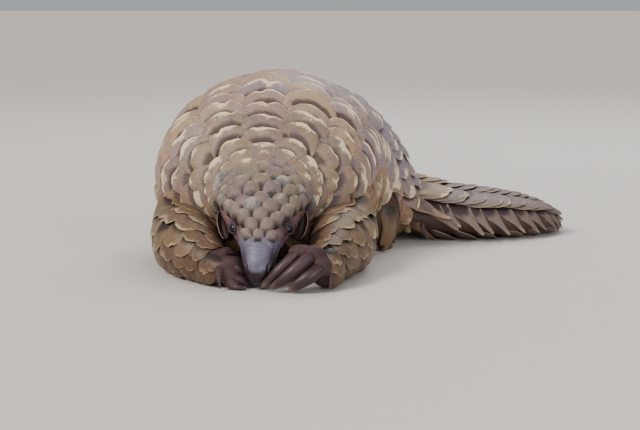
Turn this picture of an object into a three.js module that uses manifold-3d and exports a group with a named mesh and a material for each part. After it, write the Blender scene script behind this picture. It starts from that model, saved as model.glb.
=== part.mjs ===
// A ground pangolin at life size, crouched with its head bowed to the floor, its back arched and its tail
// laid out to its left. Millimetres, +Z up. The animal faces -Y, so its left side is +X. The origin is on
// the floor, under the middle of the animal's box.
import * as THREE from "three";
import { mergeVertices } from "three/addons/utils/BufferGeometryUtils.js";
import Module from "manifold-3d";

const wasm = await Module();
wasm.setup();
const { Manifold } = wasm;

// Sizes and places. Places are measured from a point on the floor under the front of the forefeet, on the
// midline of the head, and the whole animal is moved at the end.
const seam = 0.3;
const legSeam = 0.36;
const degree = Math.PI / 180;

// The trunk from nose to tail tip: where the middle of the body is, its half width, and how far it reaches
// up to the back and down to the belly.
const trunkStations = {
  noseTip: { at: [-3, 13, 5.5], wide: 3, up: 2.4, down: 2 },
  noseEnd: { at: [-3, 13.4, 9], wide: 8.6, up: 6.4, down: 6 },
  nostrils: { at: [-2.5, 16, 16.5], wide: 12.4, up: 9.8, down: 9.5 },
  snout: { at: [-2, 23, 27], wide: 15.5, up: 13, down: 13 },
  snoutBase: { at: [-1, 34.8, 40], wide: 20, up: 15, down: 16 },
  eyes: { at: [0, 48, 52], wide: 30, up: 20, down: 20 },
  cheeks: { at: [0, 62.5, 63.7], wide: 38, up: 24, down: 25 },
  crown: { at: [0, 82, 72], wide: 44, up: 31, down: 32 },
  nape: { at: [0, 105, 77], wide: 56, up: 40, down: 42 },
  neck: { at: [0, 127, 79], wide: 82, up: 60, down: 64 },
  withers: { at: [0, 150, 80], wide: 99, up: 81, down: 74 },
  shoulders: { at: [0, 180, 80], wide: 110, up: 97, down: 75 },
  back: { at: [4, 220, 80], wide: 114, up: 106, down: 76 },
  loin: { at: [20, 268, 79], wide: 112, up: 105, down: 75 },
  hips: { at: [58, 314, 72], wide: 104, up: 92, down: 68 },
  rump: { at: [104, 342, 55], wide: 86, up: 66, down: 50 },
  tailRoot: { at: [146, 352, 36], wide: 70, up: 37, down: 31 },
  tailBase: { at: [178, 352, 28], wide: 63, up: 34, down: 26 },
  tailThird: { at: [212, 350, 24], wide: 59, up: 32, down: 22.5 },
  tailHalf: { at: [250, 352, 22], wide: 52, up: 29, down: 20.5 },
  tailThin: { at: [284, 362, 20], wide: 42, up: 24, down: 18.5 },
  tailEnd: { at: [310, 376, 17], wide: 30, up: 17, down: 15.5 },
  tailRound: { at: [326, 387, 12], wide: 17, up: 8, down: 10 },
  tailTip: { at: [334, 393, 8], wide: 6, up: 3, down: 4 },
};

// The left foreleg runs forward along the floor from the shoulder, and the right one is drawn further in.
const forelegStations = {
  left: {
    shoulder: { at: [76, 172, 62], wide: 28, up: 32, down: 30 },
    elbow: { at: [82, 132, 38], wide: 28, up: 30, down: 36 },
    forearm: { at: [72, 90, 33], wide: 30, up: 30, down: 33 },
    wrist: { at: [66, 55, 27], wide: 23, up: 25, down: 26 },
    palm: { at: [62, 30, 24], wide: 18, up: 19, down: 24 },
    knuckles: { at: [56, 15, 24], wide: 15, up: 16, down: 22 },
    toes: { at: [53, 8, 24], wide: 8, up: 9, down: 12 },
  },
  right: {
    shoulder: { at: [-78, 176, 62], wide: 28, up: 32, down: 30 },
    elbow: { at: [-83, 136, 38], wide: 28, up: 30, down: 36 },
    forearm: { at: [-74, 94, 33], wide: 29, up: 30, down: 33 },
    wrist: { at: [-59, 62, 27], wide: 24, up: 25, down: 26 },
    palm: { at: [-46, 41, 22], wide: 17, up: 17, down: 22 },
    knuckles: { at: [-37, 29, 19], wide: 13, up: 13, down: 18 },
    toes: { at: [-30, 22, 17], wide: 9, up: 10, down: 13 },
  },
};

// The hind legs stand like short columns under the hips, with their toes turned a little to the right.
const toesFacing = [-0.5, -0.86, 0];
const hindlegStations = {
  left: {
    hip: { at: [96, 272, 64], wide: 30, up: 34, down: 34 },
    knee: { at: [114, 256, 44], wide: 30, up: 32, down: 28 },
    shank: { at: [115, 255, 26], wide: 25, up: 25, down: 24 },
    ankle: { at: [112, 260, 13], wide: 21, up: 22, down: 20 },
    sole: { at: [110, 261, -2], wide: 21, up: 23, down: 20 },
  },
  right: {
    hip: { at: [34, 346, 64], wide: 30, up: 34, down: 34 },
    knee: { at: [16, 370, 44], wide: 30, up: 32, down: 28 },
    shank: { at: [13, 380, 26], wide: 25, up: 25, down: 24 },
    ankle: { at: [14, 383, 13], wide: 22, up: 22, down: 20 },
    sole: { at: [15, 384, -2], wide: 22, up: 24, down: 20 },
  },
};

// The claws of the forefeet, from knuckle to tip, with how far each bows out, its breadth and its depth.
const foreclaws = {
  left: [
    { root: [36.5, 13, 38.5], tip: [1.5, 6, 4.6], bow: 6, wide: 5.4, deep: 5.2 },
    { root: [51, 8, 38], tip: [10, 0, 4], bow: 7, wide: 6.2, deep: 6.2 },
    { root: [59, 6, 25], tip: [27, -2, 4.2], bow: 6, wide: 7, deep: 6.6 },
    { root: [44, 26, 38], tip: [26, 24, 33], bow: 3, wide: 2.6, deep: 3 },
    { root: [66, 12, 21], tip: [64.5, 3, 3], bow: 2, wide: 2.6, deep: 2.6 },
  ],
  right: [
    { root: [-29, 22, 24.9], tip: [-8, 45.5, 9], bow: 6, wide: 5.5, deep: 6.5 },
    { root: [-29, 20, 12.6], tip: [-10, 34, 4.4], bow: 6, wide: 5.1, deep: 6.1 },
    { root: [-28, 17, 3.6], tip: [-12, 13, 2.4], bow: 2, wide: 3, deep: 3.4 },
    { root: [-36, 36, 34], tip: [-22, 46, 29], bow: 3, wide: 2.4, deep: 2.8 },
    { root: [-39, 15, 20], tip: [-37, 9, 2.4], bow: 1.5, wide: 2.2, deep: 2.2 },
  ],
};
const hindclaw = { turns: [-56, -28, 0, 28, 56], high: 9, tip: 1, long: 16, wide: 3.4, deep: 3, bow: 1.5 };
const clawRoot = 5;
const socket = 0.45;

// Where the cut round each leg starts inside the trunk and where it ends past the foot.
const forePartings = {
  left: [{ at: [86, 152, 46], reach: 47 }, { at: [52, -8, 20], reach: 32 }],
  right: [{ at: [-88, 156, 46], reach: 47 }, { at: [-36, 4, 20], reach: 27 }],
};
const hindPartings = {
  left: [{ at: [104, 266, 66], reach: 42 }, { at: [118, 240, -8], reach: 36 }],
  right: [{ at: [24, 358, 66], reach: 42 }, { at: [14, 384, -8], reach: 36 }],
};
const clawBelly = 0.8;
const clawShape = [["root", 0, 1], ["half", 0.5, 0.98], ["thin", 0.82, 0.76], ["end", 1, 0.3]];

// Features of the head, at a turn from the top of it.
const eye = { past: "eyes", by: -3, turn: 81, radius: 5.4, inset: 3.4, lid: 1.4, long: 5.6, open: 3.4 };
const ear = { past: "cheeks", by: 4, turn: 108, tall: 10, wide: 5.5, deep: 5, inset: 0.5, rim: 1.5, cup: 6.5 };
const nostril = { past: "nostrils", by: 2, turn: 50, deep: 3, tall: 2.4, wide: 1.5 };
const mouth = { from: 0.5, long: 24, step: 6, low: 0.42, slit: 0.4, lip: 2, proud: 0.9, past: 2, ring: 8 };

// How a coat of scales changes along a form: the angle between columns, the distance from one row to the
// next, how wide and long a scale is against its column and its pitch, how high its free edge stands, how
// pointed it is, and how far round from the middle column the scales reach.
const trunkCoat = {
  snoutBase: { turn: 17, step: 9.5, wide: 0.95, long: 1.1, lift: 2, point: 0.1, edge: 64 },
  eyes: { turn: 17, step: 10.5, wide: 0.95, long: 1.1, lift: 2.3, point: 0.1, edge: 64 },
  crown: { turn: 17.5, step: 13, wide: 0.95, long: 1.15, lift: 2.8, point: 0.1, edge: 80 },
  nape: { turn: 19, step: 15, wide: 0.9, long: 1.25, lift: 3.4, point: 0.1, edge: 118 },
  withers: { turn: 21.5, step: 16.5, wide: 0.78, long: 1.35, lift: 5, point: 0.1, edge: 130 },
  back: { turn: 23, step: 19, wide: 0.74, long: 1.35, lift: 6.5, point: 0.1, edge: 110 },
  hips: { turn: 26, step: 19, wide: 0.74, long: 1.35, lift: 6.5, point: 0.2, edge: 106 },
  rump: { turn: 33, step: 17, wide: 0.74, long: 1.35, lift: 6, point: 0.3, edge: 100 },
  tailRoot: { turn: 43, step: 15, wide: 0.74, long: 1.35, lift: 5.5, point: 0.4, edge: 90 },
  tailHalf: { turn: 45, step: 14, wide: 0.7, long: 1.35, lift: 5, point: 0.5, edge: 90 },
  tailRound: { turn: 44, step: 12, wide: 0.7, long: 1.35, lift: 3.6, point: 0.5, edge: 90 },
};
const coatEnds = { browBefore: 3, tipBefore: 12, tailBefore: 14 };
const tailUnderCoat = {
  tailBase: { turn: 36, step: 24, wide: 0.7, long: 1.1, lift: 4, point: 0.3, edge: 37 },
  tailEnd: { turn: 40, step: 20, wide: 0.7, long: 1.1, lift: 3, point: 0.3, edge: 41 },
};
// On a foreleg the scales run in chains round it, outwards over its top and down its outer side. At each
// turn from its top, which way they lie: 0 is towards the paw and 90 is outwards.
const forelegCoat = {
  elbow: { pitch: 24, gap: 27, wide: 17, long: 34, lift: 4.5 },
  forearm: { pitch: 22, gap: 23, wide: 15, long: 31, lift: 4 },
  wrist: { pitch: 17, gap: 18, wide: 11, long: 24, lift: 3 },
};
const chain = { from: -50, to: 128, stagger: 14, ahead: 40, point: 0.05 };
const lies = { turns: [-60, 0, 45, 80, 150], values: [66, 80, 98, 118, 126] };
const hindlegCoat = {
  knee: { turn: 52, step: 16, wide: 0.75, long: 1.3, lift: 4.6, point: 0.3, edge: 106 },
  ankle: { turn: 52, step: 11, wide: 0.75, long: 1.25, lift: 3, point: 0.2, edge: 60 },
};

// A scale's root is sunk by its lift, and its sides stand lower than its middle. Its keel is where it peaks,
// with its height there. Where the body bends so hard that a step is shorter than this share of the step
// along the middle column, every other scale is left out and the others are longer.
const sunk = 1;
const sideDrop = 0.25;
const keelSpot = { along: 0.3, high: 0.4 };
const crowded = 0.7;
const varied = { place: 0.08, turn: 0.03, size: 0.05, lift: 0.1 };
const mostColumns = 6;

// How far apart the rings of the skin under the coat lie on the head, the body, the tail tip and the legs,
// how many sides they have, and how far that skin lies inside the outline.
const rings = { head: 7, body: 28, tailTip: 8, leg: 14 };
const sides = { trunk: 14, leg: 12, parting: 8, claw: 5, lips: 8, slit: 6 };
const coreInset = 1;

// A run of stations, with every number carried between them by a cubic that passes through each one.
class Form {
  constructor(stations, facing = [0, 0, 1]) {
    this.names = Object.keys(stations);
    this.list = Object.values(stations);
    this.facing = new THREE.Vector3(...facing);
    this.reach = [0];
    for (let i = 1; i < this.list.length; i++) {
      const gap = new THREE.Vector3(...this.list[i].at).distanceTo(new THREE.Vector3(...this.list[i - 1].at));
      this.reach.push(this.reach[i - 1] + gap);
    }
    this.length = this.reach.at(-1);
  }

  // The distance along the middle line at which a named station lies.
  place(name) {
    return this.reach[this.names.indexOf(name)];
  }

  // One number at distance s, from a function that reads it off a station.
  value(s, read) {
    return smooth(this.reach, this.list.map(read), s);
  }

  middle(s) {
    return new THREE.Vector3(...[0, 1, 2].map((axis) => this.value(s, (station) => station.at[axis])));
  }

  frame(s) {
    const near = Math.max(0, s - 0.5);
    const far = Math.min(this.length, s + 0.5);
    const along = this.middle(far).sub(this.middle(near)).normalize();
    const side = along.clone().cross(this.facing).normalize();
    return { along, side, out: side.clone().cross(along) };
  }

  // A point of the surface at distance s, turned from the back towards the animal's left, lifted off it.
  point(s, turn, lift = 0) {
    if (lift) return this.point(s, turn).addScaledVector(this.normal(s, turn), lift);
    const { side, out } = this.frame(s);
    const height = Math.cos(turn);
    const tall = this.value(s, (station) => (height > 0 ? station.up : station.down));
    const wide = this.value(s, (station) => station.wide);
    return this.middle(s)
      .addScaledVector(side, wide * Math.sin(turn))
      .addScaledVector(out, tall * height);
  }

  // How far the surface moves for a step along it and for a turn round it.
  steps(s, turn) {
    const ds = 0.5;
    const dt = 0.01;
    const low = Math.max(0, s - ds);
    const high = Math.min(this.length, s + ds);
    const round = this.point(s, turn + dt).sub(this.point(s, turn - dt)).divideScalar(2 * dt);
    return { along: this.point(high, turn).sub(this.point(low, turn)).divideScalar(high - low), round };
  }

  normal(s, turn) {
    const { along, round } = this.steps(s, turn);
    return round.cross(along).normalize();
  }

  // The closed skin through rings at the given distances, moved out by swell.
  solid(stops, sides, swell = 0) {
    const positions = [];
    for (const s of stops) {
      for (let j = 0; j < sides; j++) positions.push(this.point(s, (2 * Math.PI * j) / sides, swell));
    }
    const first = positions.push(this.middle(stops[0])) - 1;
    const last = positions.push(this.middle(stops.at(-1))) - 1;
    const rings = stops.length - 1;
    const faces = [];
    for (let j = 0; j < sides; j++) {
      const next = (j + 1) % sides;
      faces.push([first, next, j], [last, rings * sides + j, rings * sides + next]);
      for (let i = 0; i < rings; i++) {
        const a = i * sides + j;
        const b = i * sides + next;
        faces.push([a, b, b + sides], [a, b + sides, a + sides]);
      }
    }
    return closed(positions, faces);
  }
}

// Even stops from one distance to another, at most a given step apart.
function spread(from, to, step) {
  const count = Math.max(1, Math.ceil((to - from) / step));
  return Array.from({ length: count + 1 }, (_, i) => from + ((to - from) * i) / count);
}

// The value at s of the cubic that passes through every knot, and its ends are held beyond them.
function smooth(knots, values, s) {
  const last = knots.length - 1;
  const slope = (i) => {
    const a = Math.max(0, i - 1);
    const b = Math.min(last, i + 1);
    return (values[b] - values[a]) / (knots[b] - knots[a]);
  };
  if (s <= knots[0]) return values[0];
  if (s >= knots[last]) return values[last];
  let i = 0;
  while (knots[i + 1] < s) i++;
  const gap = knots[i + 1] - knots[i];
  const t = (s - knots[i]) / gap;
  return (
    values[i] * (2 * t ** 3 - 3 * t ** 2 + 1) +
    slope(i) * gap * (t ** 3 - 2 * t ** 2 + t) +
    values[i + 1] * (3 * t ** 2 - 2 * t ** 3) +
    slope(i + 1) * gap * (t ** 3 - t ** 2)
  );
}

// A closed solid from points and faces, turned so that its faces point out.
function closed(positions, faces) {
  const build = (list) =>
    new Manifold(
      new wasm.Mesh({
        numProp: 3,
        vertProperties: Float32Array.from(positions.flatMap((p) => [p.x, p.y, p.z])),
        triVerts: Uint32Array.from(list.flat()),
      }),
    );
  const made = build(faces);
  return made.volume() > 0 ? made : build(faces.map(([a, b, c]) => [a, c, b]));
}

// A ball stretched along three axes, as a solid.
function egg(centre, axes, radii, detail = 1) {
  const ball = new THREE.IcosahedronGeometry(1, detail);
  ball.deleteAttribute("normal");
  ball.deleteAttribute("uv");
  const shape = mergeVertices(ball);
  const positions = [];
  for (let i = 0; i < shape.attributes.position.count; i++) {
    const raw = new THREE.Vector3().fromBufferAttribute(shape.attributes.position, i);
    const placed = centre.clone();
    axes.forEach((axis, k) => placed.addScaledVector(axis, raw.getComponent(k) * radii[k]));
    positions.push(placed);
  }
  const faces = [];
  for (let i = 0; i < shape.index.count; i += 3) {
    faces.push([shape.index.getX(i), shape.index.getX(i + 1), shape.index.getX(i + 2)]);
  }
  return closed(positions, faces);
}

// A steady draw between -1 and 1 for a column and a row.
function draw(column, row, kind = 0) {
  const value = Math.sin(column * 12.9898 + row * 78.233 + kind * 37.719) * 43758.5453;
  return 2 * (value - Math.floor(value)) - 1;
}

// Half of a scale's edge from root to tip: how far along it and how far across, on a round and a pointed one.
const roundEdge = [[0, 0.9], [0.5, 1], [1, 0.5]];
const pointedEdge = [[0, 0.9], [0.45, 1], [1, 0.12]];

// A scale as a plate that wraps a form: its root is sunk in the skin and its free edge stands off it. It
// lies along the form, or turned from that by its lie.
function scale(form, { s, turn, long, wide, lift, point, lie = 0 }) {
  const step = form.steps(Math.min(form.length, s + (long / 2) * Math.cos(lie)), turn);
  const perLong = 1 / Math.max(step.along.length(), crowded);
  const perWide = 1 / step.round.length();
  const side = roundEdge.map(([u, v], i) => [
    u + point * (pointedEdge[i][0] - u),
    v + point * (pointedEdge[i][1] - v),
  ]);
  const outline = [...side.map(([u, v]) => [u, -v]), ...side.toReversed()];
  const place = ([u, v], height) => {
    const ahead = u * long * Math.cos(lie) - v * wide * Math.sin(lie);
    const across = u * long * Math.sin(lie) + v * wide * Math.cos(lie);
    return form.point(s + ahead * perLong, turn + across * perWide, height);
  };
  const rise = ([u, v]) => lift * (u - sideDrop * v * v);
  const positions = [
    ...outline.map((spot) => place(spot, rise(spot))),
    place([keelSpot.along, 0], lift * keelSpot.high),
    ...outline.map((spot) => place(spot, -sunk * lift)),
  ];
  const count = outline.length;
  const keel = count;
  const under = count + 1;
  const faces = [];
  for (let i = 0; i < count; i++) {
    const next = (i + 1) % count;
    faces.push([keel, i, next], [i, under + i, under + next], [i, under + next, next]);
    if (i > 1) faces.push([under, under + i, under + i - 1]);
  }
  return closed(positions, faces);
}

// The number at distance s of a coat that is given at some of a form's stations.
function coatValue(form, coat, s, key) {
  const knots = Object.keys(coat).map((name) => form.place(name));
  return smooth(knots, Object.values(coat).map((item) => item[key]), s);
}

// Every scale of a coat: rows a step apart along a form, with the odd columns half a pitch behind the even
// ones, about a middle column at a turn of its own.
function coatScales(form, coat, { from, to, about = 0 }) {
  const scales = [];
  let s = from;
  for (let row = 0; s < to; row++) {
    const step = coatValue(form, coat, s, "step") / form.steps(s, about).along.length();
    const turn = coatValue(form, coat, s, "turn") * degree;
    const edge = coatValue(form, coat, s, "edge") * degree;
    for (let column = -mostColumns; column <= mostColumns; column++) {
      if ((row + column) % 2 || Math.abs(column * turn) > edge) continue;
      const local = form.steps(s, about + column * turn);
      const stretch = local.along.length() / form.steps(s, about).along.length();
      if (stretch < crowded && (row + column) % 4) continue;
      const pitch = 2 * step * local.along.length() * (stretch < crowded ? 2 : 1);
      const gap = turn * local.round.length();
      scales.push({
        s: s + varied.place * step * draw(column, row),
        turn: about + turn * (column + varied.turn * draw(column, row, 1)),
        long: coatValue(form, coat, s, "long") * pitch * (1 + varied.size * draw(column, row, 2)),
        wide: coatValue(form, coat, s, "wide") * gap * (1 + varied.size * draw(column, row, 3)),
        lift: coatValue(form, coat, s, "lift") * (1 + varied.lift * draw(column, row, 4)),
        point: coatValue(form, coat, s, "point"),
      });
    }
    s += step;
  }
  return scales.map((item) => scale(form, item));
}

// The scales of a foreleg, in chains that follow the lie of its coat from its inner side round its outside.
function chainScales(form, outward, { from, to }) {
  const scales = [];
  let begin = from;
  for (let row = 0; begin < to + chain.ahead; row++) {
    let s = begin;
    let turn = chain.from + (row % 2) * chain.stagger;
    while (turn < chain.to) {
      const lie = smooth(lies.turns, lies.values, turn) * degree;
      const at = (key) => coatValue(form, forelegCoat, s, key);
      const local = form.steps(Math.min(s, form.length), outward * turn * degree);
      if (s >= from && s <= to) {
        scales.push({
          s,
          turn: outward * turn * degree,
          lie: outward * (lie + varied.turn * draw(row, turn)),
          long: at("long"),
          wide: at("wide") * (1 + varied.size * draw(row, turn, 1)),
          lift: at("lift") * (1 + varied.lift * draw(row, turn, 2)),
          point: chain.point,
        });
      }
      const pitch = at("pitch");
      s += (pitch * Math.cos(lie)) / local.along.length();
      turn += (pitch * Math.sin(lie)) / local.round.length() / degree;
    }
    begin += coatValue(form, forelegCoat, begin, "gap");
  }
  return scales.map((item) => scale(form, item));
}

// A solid parted by a plane across a form into what lies before and behind it, a seam apart.
function parted(solid, form, s) {
  const { along } = form.frame(s);
  const reach = along.dot(form.middle(s));
  const before = solid.trimByPlane(along.clone().negate().toArray(), seam / 2 - reach);
  const behind = solid.trimByPlane(along.toArray(), seam / 2 + reach);
  return [before, behind];
}

// The largest closed surface of a solid, without loose scraps and hollows that fusing sealed.
function largest(solid) {
  return solid.decompose().sort((a, b) => b.volume() - a.volume())[0];
}

// A named node from a solid, cut off flat where it rests on the floor.
function node(name, solid, color, roughness) {
  const grounded = largest(solid.trimByPlane([0, 0, 1], 0));
  const mesh = largest(new Manifold(grounded.getMesh())).getMesh();
  const positions = new Float32Array(mesh.numVert * 3);
  for (let i = 0; i < mesh.numVert; i++) {
    positions.set(mesh.vertProperties.subarray(i * mesh.numProp, i * mesh.numProp + 3), i * 3);
  }
  const geometry = new THREE.BufferGeometry();
  geometry.setAttribute("position", new THREE.BufferAttribute(positions, 3));
  geometry.setIndex(new THREE.BufferAttribute(Uint32Array.from(mesh.triVerts), 1));
  geometry.computeVertexNormals();
  const made = new THREE.Mesh(geometry, new THREE.MeshStandardMaterial({ color, roughness, metalness: 0 }));
  made.name = name;
  return made;
}

const up = new THREE.Vector3(0, 0, 1);
const colors = {
  head: 0x84747a, neck: 0xa7948e, shoulders: 0xa89a92, back: 0x94817a, hips: 0x8a7668, tail: 0x776a69,
  leg: 0x7b5a3d, foot: 0x5c4640, claw: 0x3d2122, eye: 0x14100f, ear: 0x4a3534,
};

// The trunk with its coat, and under the tail the coat of its lower side.
const trunk = new Form(trunkStations);
const trunkStops = [
  ...spread(0, trunk.place("nape"), rings.head),
  ...spread(trunk.place("nape"), trunk.place("tailEnd"), rings.body).slice(1),
  ...spread(trunk.place("tailEnd"), trunk.length, rings.tailTip).slice(1),
];
const trunkScales = coatScales(trunk, trunkCoat, {
  from: trunk.place("snoutBase") - coatEnds.browBefore,
  to: trunk.length - coatEnds.tipBefore,
});
const tailUnderScales = coatScales(trunk, tailUnderCoat, {
  from: trunk.place("tailBase") - coatEnds.tailBefore,
  to: trunk.place("tailRound"),
  about: Math.PI,
});

// A leg as its form, its coat and the frustum round it that parts it from the trunk.
function leg(stations, claws, parting, outward, { facing, coat, from, to, foot, clawFacing }) {
  const form = new Form(stations, facing);
  const covered = { from: form.place(from), to: form.place(to) };
  const cutter = (grown) => {
    const [rear, front] = parting.map(({ at }) => new THREE.Vector3(...at));
    const way = rear.clone().sub(front).setLength(grown);
    const [wideRear, wideFront] = parting.map(({ reach }) => reach + grown);
    const frustum = new Form(
      {
        rear: { at: rear.add(way).toArray(), wide: wideRear, up: wideRear, down: wideRear },
        front: { at: front.sub(way).toArray(), wide: wideFront, up: wideFront, down: wideFront },
      },
      facing,
    );
    return frustum.solid(frustum.reach, sides.parting);
  };
  return {
    form,
    foot,
    claws,
    facing: clawFacing,
    solid: form.solid(spread(0, form.length, rings.leg), sides.leg, -coreInset),
    scales: coat ? coatScales(form, coat, covered) : chainScales(form, outward, covered),
    cutter,
  };
}
const hindClaws = (stations) =>
  hindclaw.turns.map((turn) => {
    const way = new THREE.Vector3(...toesFacing).normalize().applyAxisAngle(up, turn * degree);
    const sole = new THREE.Vector3(...stations.sole.at).setZ(hindclaw.high);
    const start = stations.sole.wide - clawRoot;
    const root = sole.clone().addScaledVector(way, start);
    const tip = sole.clone().addScaledVector(way, start + hindclaw.long).setZ(hindclaw.tip);
    return { ...hindclaw, root: root.toArray(), tip: tip.toArray() };
  });
const forelegParts = {
  facing: [0, 0, 1], from: "elbow", to: "wrist", foot: "palm", clawFacing: [0, -1, 0],
};
const hindlegParts = {
  facing: toesFacing, coat: hindlegCoat, from: "knee", to: "ankle", foot: "shank", clawFacing: [0, 0, 1],
};
const legs = {};
for (const [side, outward] of [["left", -1], ["right", 1]]) {
  const fore = forelegStations[side];
  const hind = hindlegStations[side];
  legs[`foreleg_${side}`] = leg(fore, foreclaws[side], forePartings[side], outward, forelegParts);
  legs[`hindleg_${side}`] = leg(hind, hindClaws(hind), hindPartings[side], outward, hindlegParts);
}

// The features of the head, on both sides of it: what each adds to the head and what it cuts out of it.
const added = [];
const cut = [];
const separate = [];
const spot = ({ past, by, turn }, side) => [trunk.place(past) + by, side * turn * degree];
const axesAt = (s, turn) => {
  const out = trunk.normal(s, turn);
  const along = trunk.frame(s).along;
  const round = out.clone().cross(along).normalize();
  return [out, round.clone().cross(out).normalize(), round];
};
for (const [name, side] of [["left", 1], ["right", -1]]) {
  const [eyeAt, eyeTurn] = spot(eye, side);
  const eyeAxes = axesAt(eyeAt, eyeTurn);
  const eyeMiddle = trunk.point(eyeAt, eyeTurn, -eye.inset);
  const ball = (radius) => egg(eyeMiddle, eyeAxes, [radius, radius, radius]);
  const opening = eyeMiddle.clone().addScaledVector(eyeAxes[0], eye.radius);
  added.push(ball(eye.radius + seam + eye.lid));
  cut.push(ball(eye.radius + seam), egg(opening, eyeAxes, [eye.radius, eye.long, eye.open]));
  separate.push(node(`eye_${name}`, ball(eye.radius), colors.eye, 0.15));

  const [earAt, earTurn] = spot(ear, side);
  const earAxes = axesAt(earAt, earTurn);
  const earMiddle = trunk.point(earAt, earTurn, -ear.inset);
  const shell = (grown) => egg(earMiddle, earAxes, [ear.deep + grown, ear.wide + grown, ear.tall + grown]);
  const cup = earMiddle.clone().addScaledVector(earAxes[0], ear.deep).addScaledVector(earAxes[1], -ear.rim);
  cut.push(shell(seam));
  const hollow = egg(cup, earAxes, [ear.cup, ear.wide - ear.rim, ear.tall - ear.rim]);
  separate.push(node(`ear_${name}`, shell(0).subtract(hollow), colors.ear, 0.7));

  const [nostrilAt, nostrilTurn] = spot(nostril, side);
  const nostrilAxes = axesAt(nostrilAt, nostrilTurn);
  const nostrilSize = [nostril.deep, nostril.tall, nostril.wide];
  cut.push(egg(trunk.point(nostrilAt, nostrilTurn), nostrilAxes, nostrilSize, 0));
}

// The mouth is a slit across the lower side of the snout, between lips that stand a little proud of it.
function mouthForm(proud, half) {
  const stations = {};
  for (const [i, s] of spread(mouth.from, mouth.long, mouth.step).entries()) {
    const low = trunk.value(s, (station) => station.down) * mouth.low;
    const wide = trunk.value(s, (station) => station.wide) * Math.sqrt(1 - mouth.low ** 2);
    const at = trunk.middle(s).addScaledVector(trunk.frame(s).out, -low).toArray();
    stations[`stop${i}`] = { at, wide: wide + proud, up: half, down: half };
  }
  return new Form(stations);
}
const lips = mouthForm(mouth.proud, mouth.lip);
const slit = mouthForm(mouth.proud + mouth.past, mouth.slit);
added.push(lips.solid(spread(0, lips.length, mouth.ring), sides.lips));
cut.push(slit.solid(spread(0, slit.length, mouth.ring), sides.slit));

const whole = Manifold.union([
  trunk.solid(trunkStops, sides.trunk, -coreInset),
  ...trunkScales,
  ...tailUnderScales,
  ...Object.values(legs).flatMap(({ solid, scales }) => [solid, ...scales]),
  ...added,
]).subtract(Manifold.union(cut));

// A claw that bows from its root inside the foot to its tip, grown by a margin where it cuts its socket.
function claw({ root, tip, bow, wide, deep }, facing, grown = 0) {
  const run = new THREE.Vector3(...tip).sub(new THREE.Vector3(...root)).normalize();
  const start = new THREE.Vector3(...root).addScaledVector(run, -grown);
  const end = new THREE.Vector3(...tip).addScaledVector(run, grown);
  const side = run.clone().cross(new THREE.Vector3(...facing)).normalize();
  const out = side.clone().cross(run);
  const stations = {};
  for (const [name, u, size] of clawShape) {
    const at = start.clone().lerp(end, u).addScaledVector(out, bow * 4 * u * (1 - u)).toArray();
    const tall = deep * size;
    stations[name] = { at, wide: wide * size + grown, up: tall + grown, down: clawBelly * tall + grown };
  }
  const form = new Form(stations, facing);
  return form.solid(form.reach, sides.claw);
}

const animal = new THREE.Group();
animal.add(...separate);
let rest = whole;
for (const [name, { cutter, form, foot, claws, facing }] of Object.entries(legs)) {
  const limb = rest.intersect(cutter(0));
  rest = rest.subtract(cutter(legSeam));
  const [upper, lower] = parted(limb, form, form.place(foot));
  const side = name.split("_")[1];
  const kind = name.startsWith("fore") ? "fore" : "hind";
  const sockets = Manifold.union(claws.map((shape) => claw(shape, facing, socket)));
  animal.add(node(name, upper.subtract(sockets), colors.leg, 0.65));
  animal.add(node(`${kind}foot_${side}`, lower.subtract(sockets), colors.foot, 0.6));
  for (const [i, shape] of claws.entries()) {
    animal.add(node(`${kind}claw_${side}_${i + 1}`, claw(shape, facing), colors.claw, 0.3));
  }
}
let piece;
for (const [name, past, color] of [
  ["head", "crown", colors.head],
  ["neck", "withers", colors.neck],
  ["torso", "hips", colors.back],
  ["rump", "tailRoot", colors.hips],
  ["tail_base", "tailHalf", colors.tail],
]) {
  [piece, rest] = parted(rest, trunk, trunk.place(past));
  animal.add(node(name, piece, color, 0.6));
}
animal.add(node("tail_tip", rest, colors.tail, 0.6));

const box = new THREE.Box3().setFromObject(animal);
const middle = box.getCenter(new THREE.Vector3()).round();
animal.position.set(-middle.x, -middle.y, 0);

export default animal;
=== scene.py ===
# A ground pangolin at life size, crouched with its head bowed and its tail laid to its left.
import math

import bpy
import numpy as np
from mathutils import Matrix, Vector


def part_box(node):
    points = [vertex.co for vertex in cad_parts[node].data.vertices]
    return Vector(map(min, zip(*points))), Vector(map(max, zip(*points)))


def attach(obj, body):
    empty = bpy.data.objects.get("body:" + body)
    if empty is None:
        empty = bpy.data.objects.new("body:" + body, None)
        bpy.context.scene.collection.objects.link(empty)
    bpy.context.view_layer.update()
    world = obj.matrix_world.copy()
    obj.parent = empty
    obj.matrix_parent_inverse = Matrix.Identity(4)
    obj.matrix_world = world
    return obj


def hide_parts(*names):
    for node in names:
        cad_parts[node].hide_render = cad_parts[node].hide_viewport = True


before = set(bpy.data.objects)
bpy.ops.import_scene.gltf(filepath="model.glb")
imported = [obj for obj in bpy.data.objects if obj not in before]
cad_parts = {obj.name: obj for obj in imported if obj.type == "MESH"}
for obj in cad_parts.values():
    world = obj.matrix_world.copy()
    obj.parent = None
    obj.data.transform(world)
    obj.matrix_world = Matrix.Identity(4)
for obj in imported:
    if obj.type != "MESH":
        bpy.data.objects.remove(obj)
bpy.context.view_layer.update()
degree = math.pi / 180
metre = 1000                                   # shapes are worked out in millimetres

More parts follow.
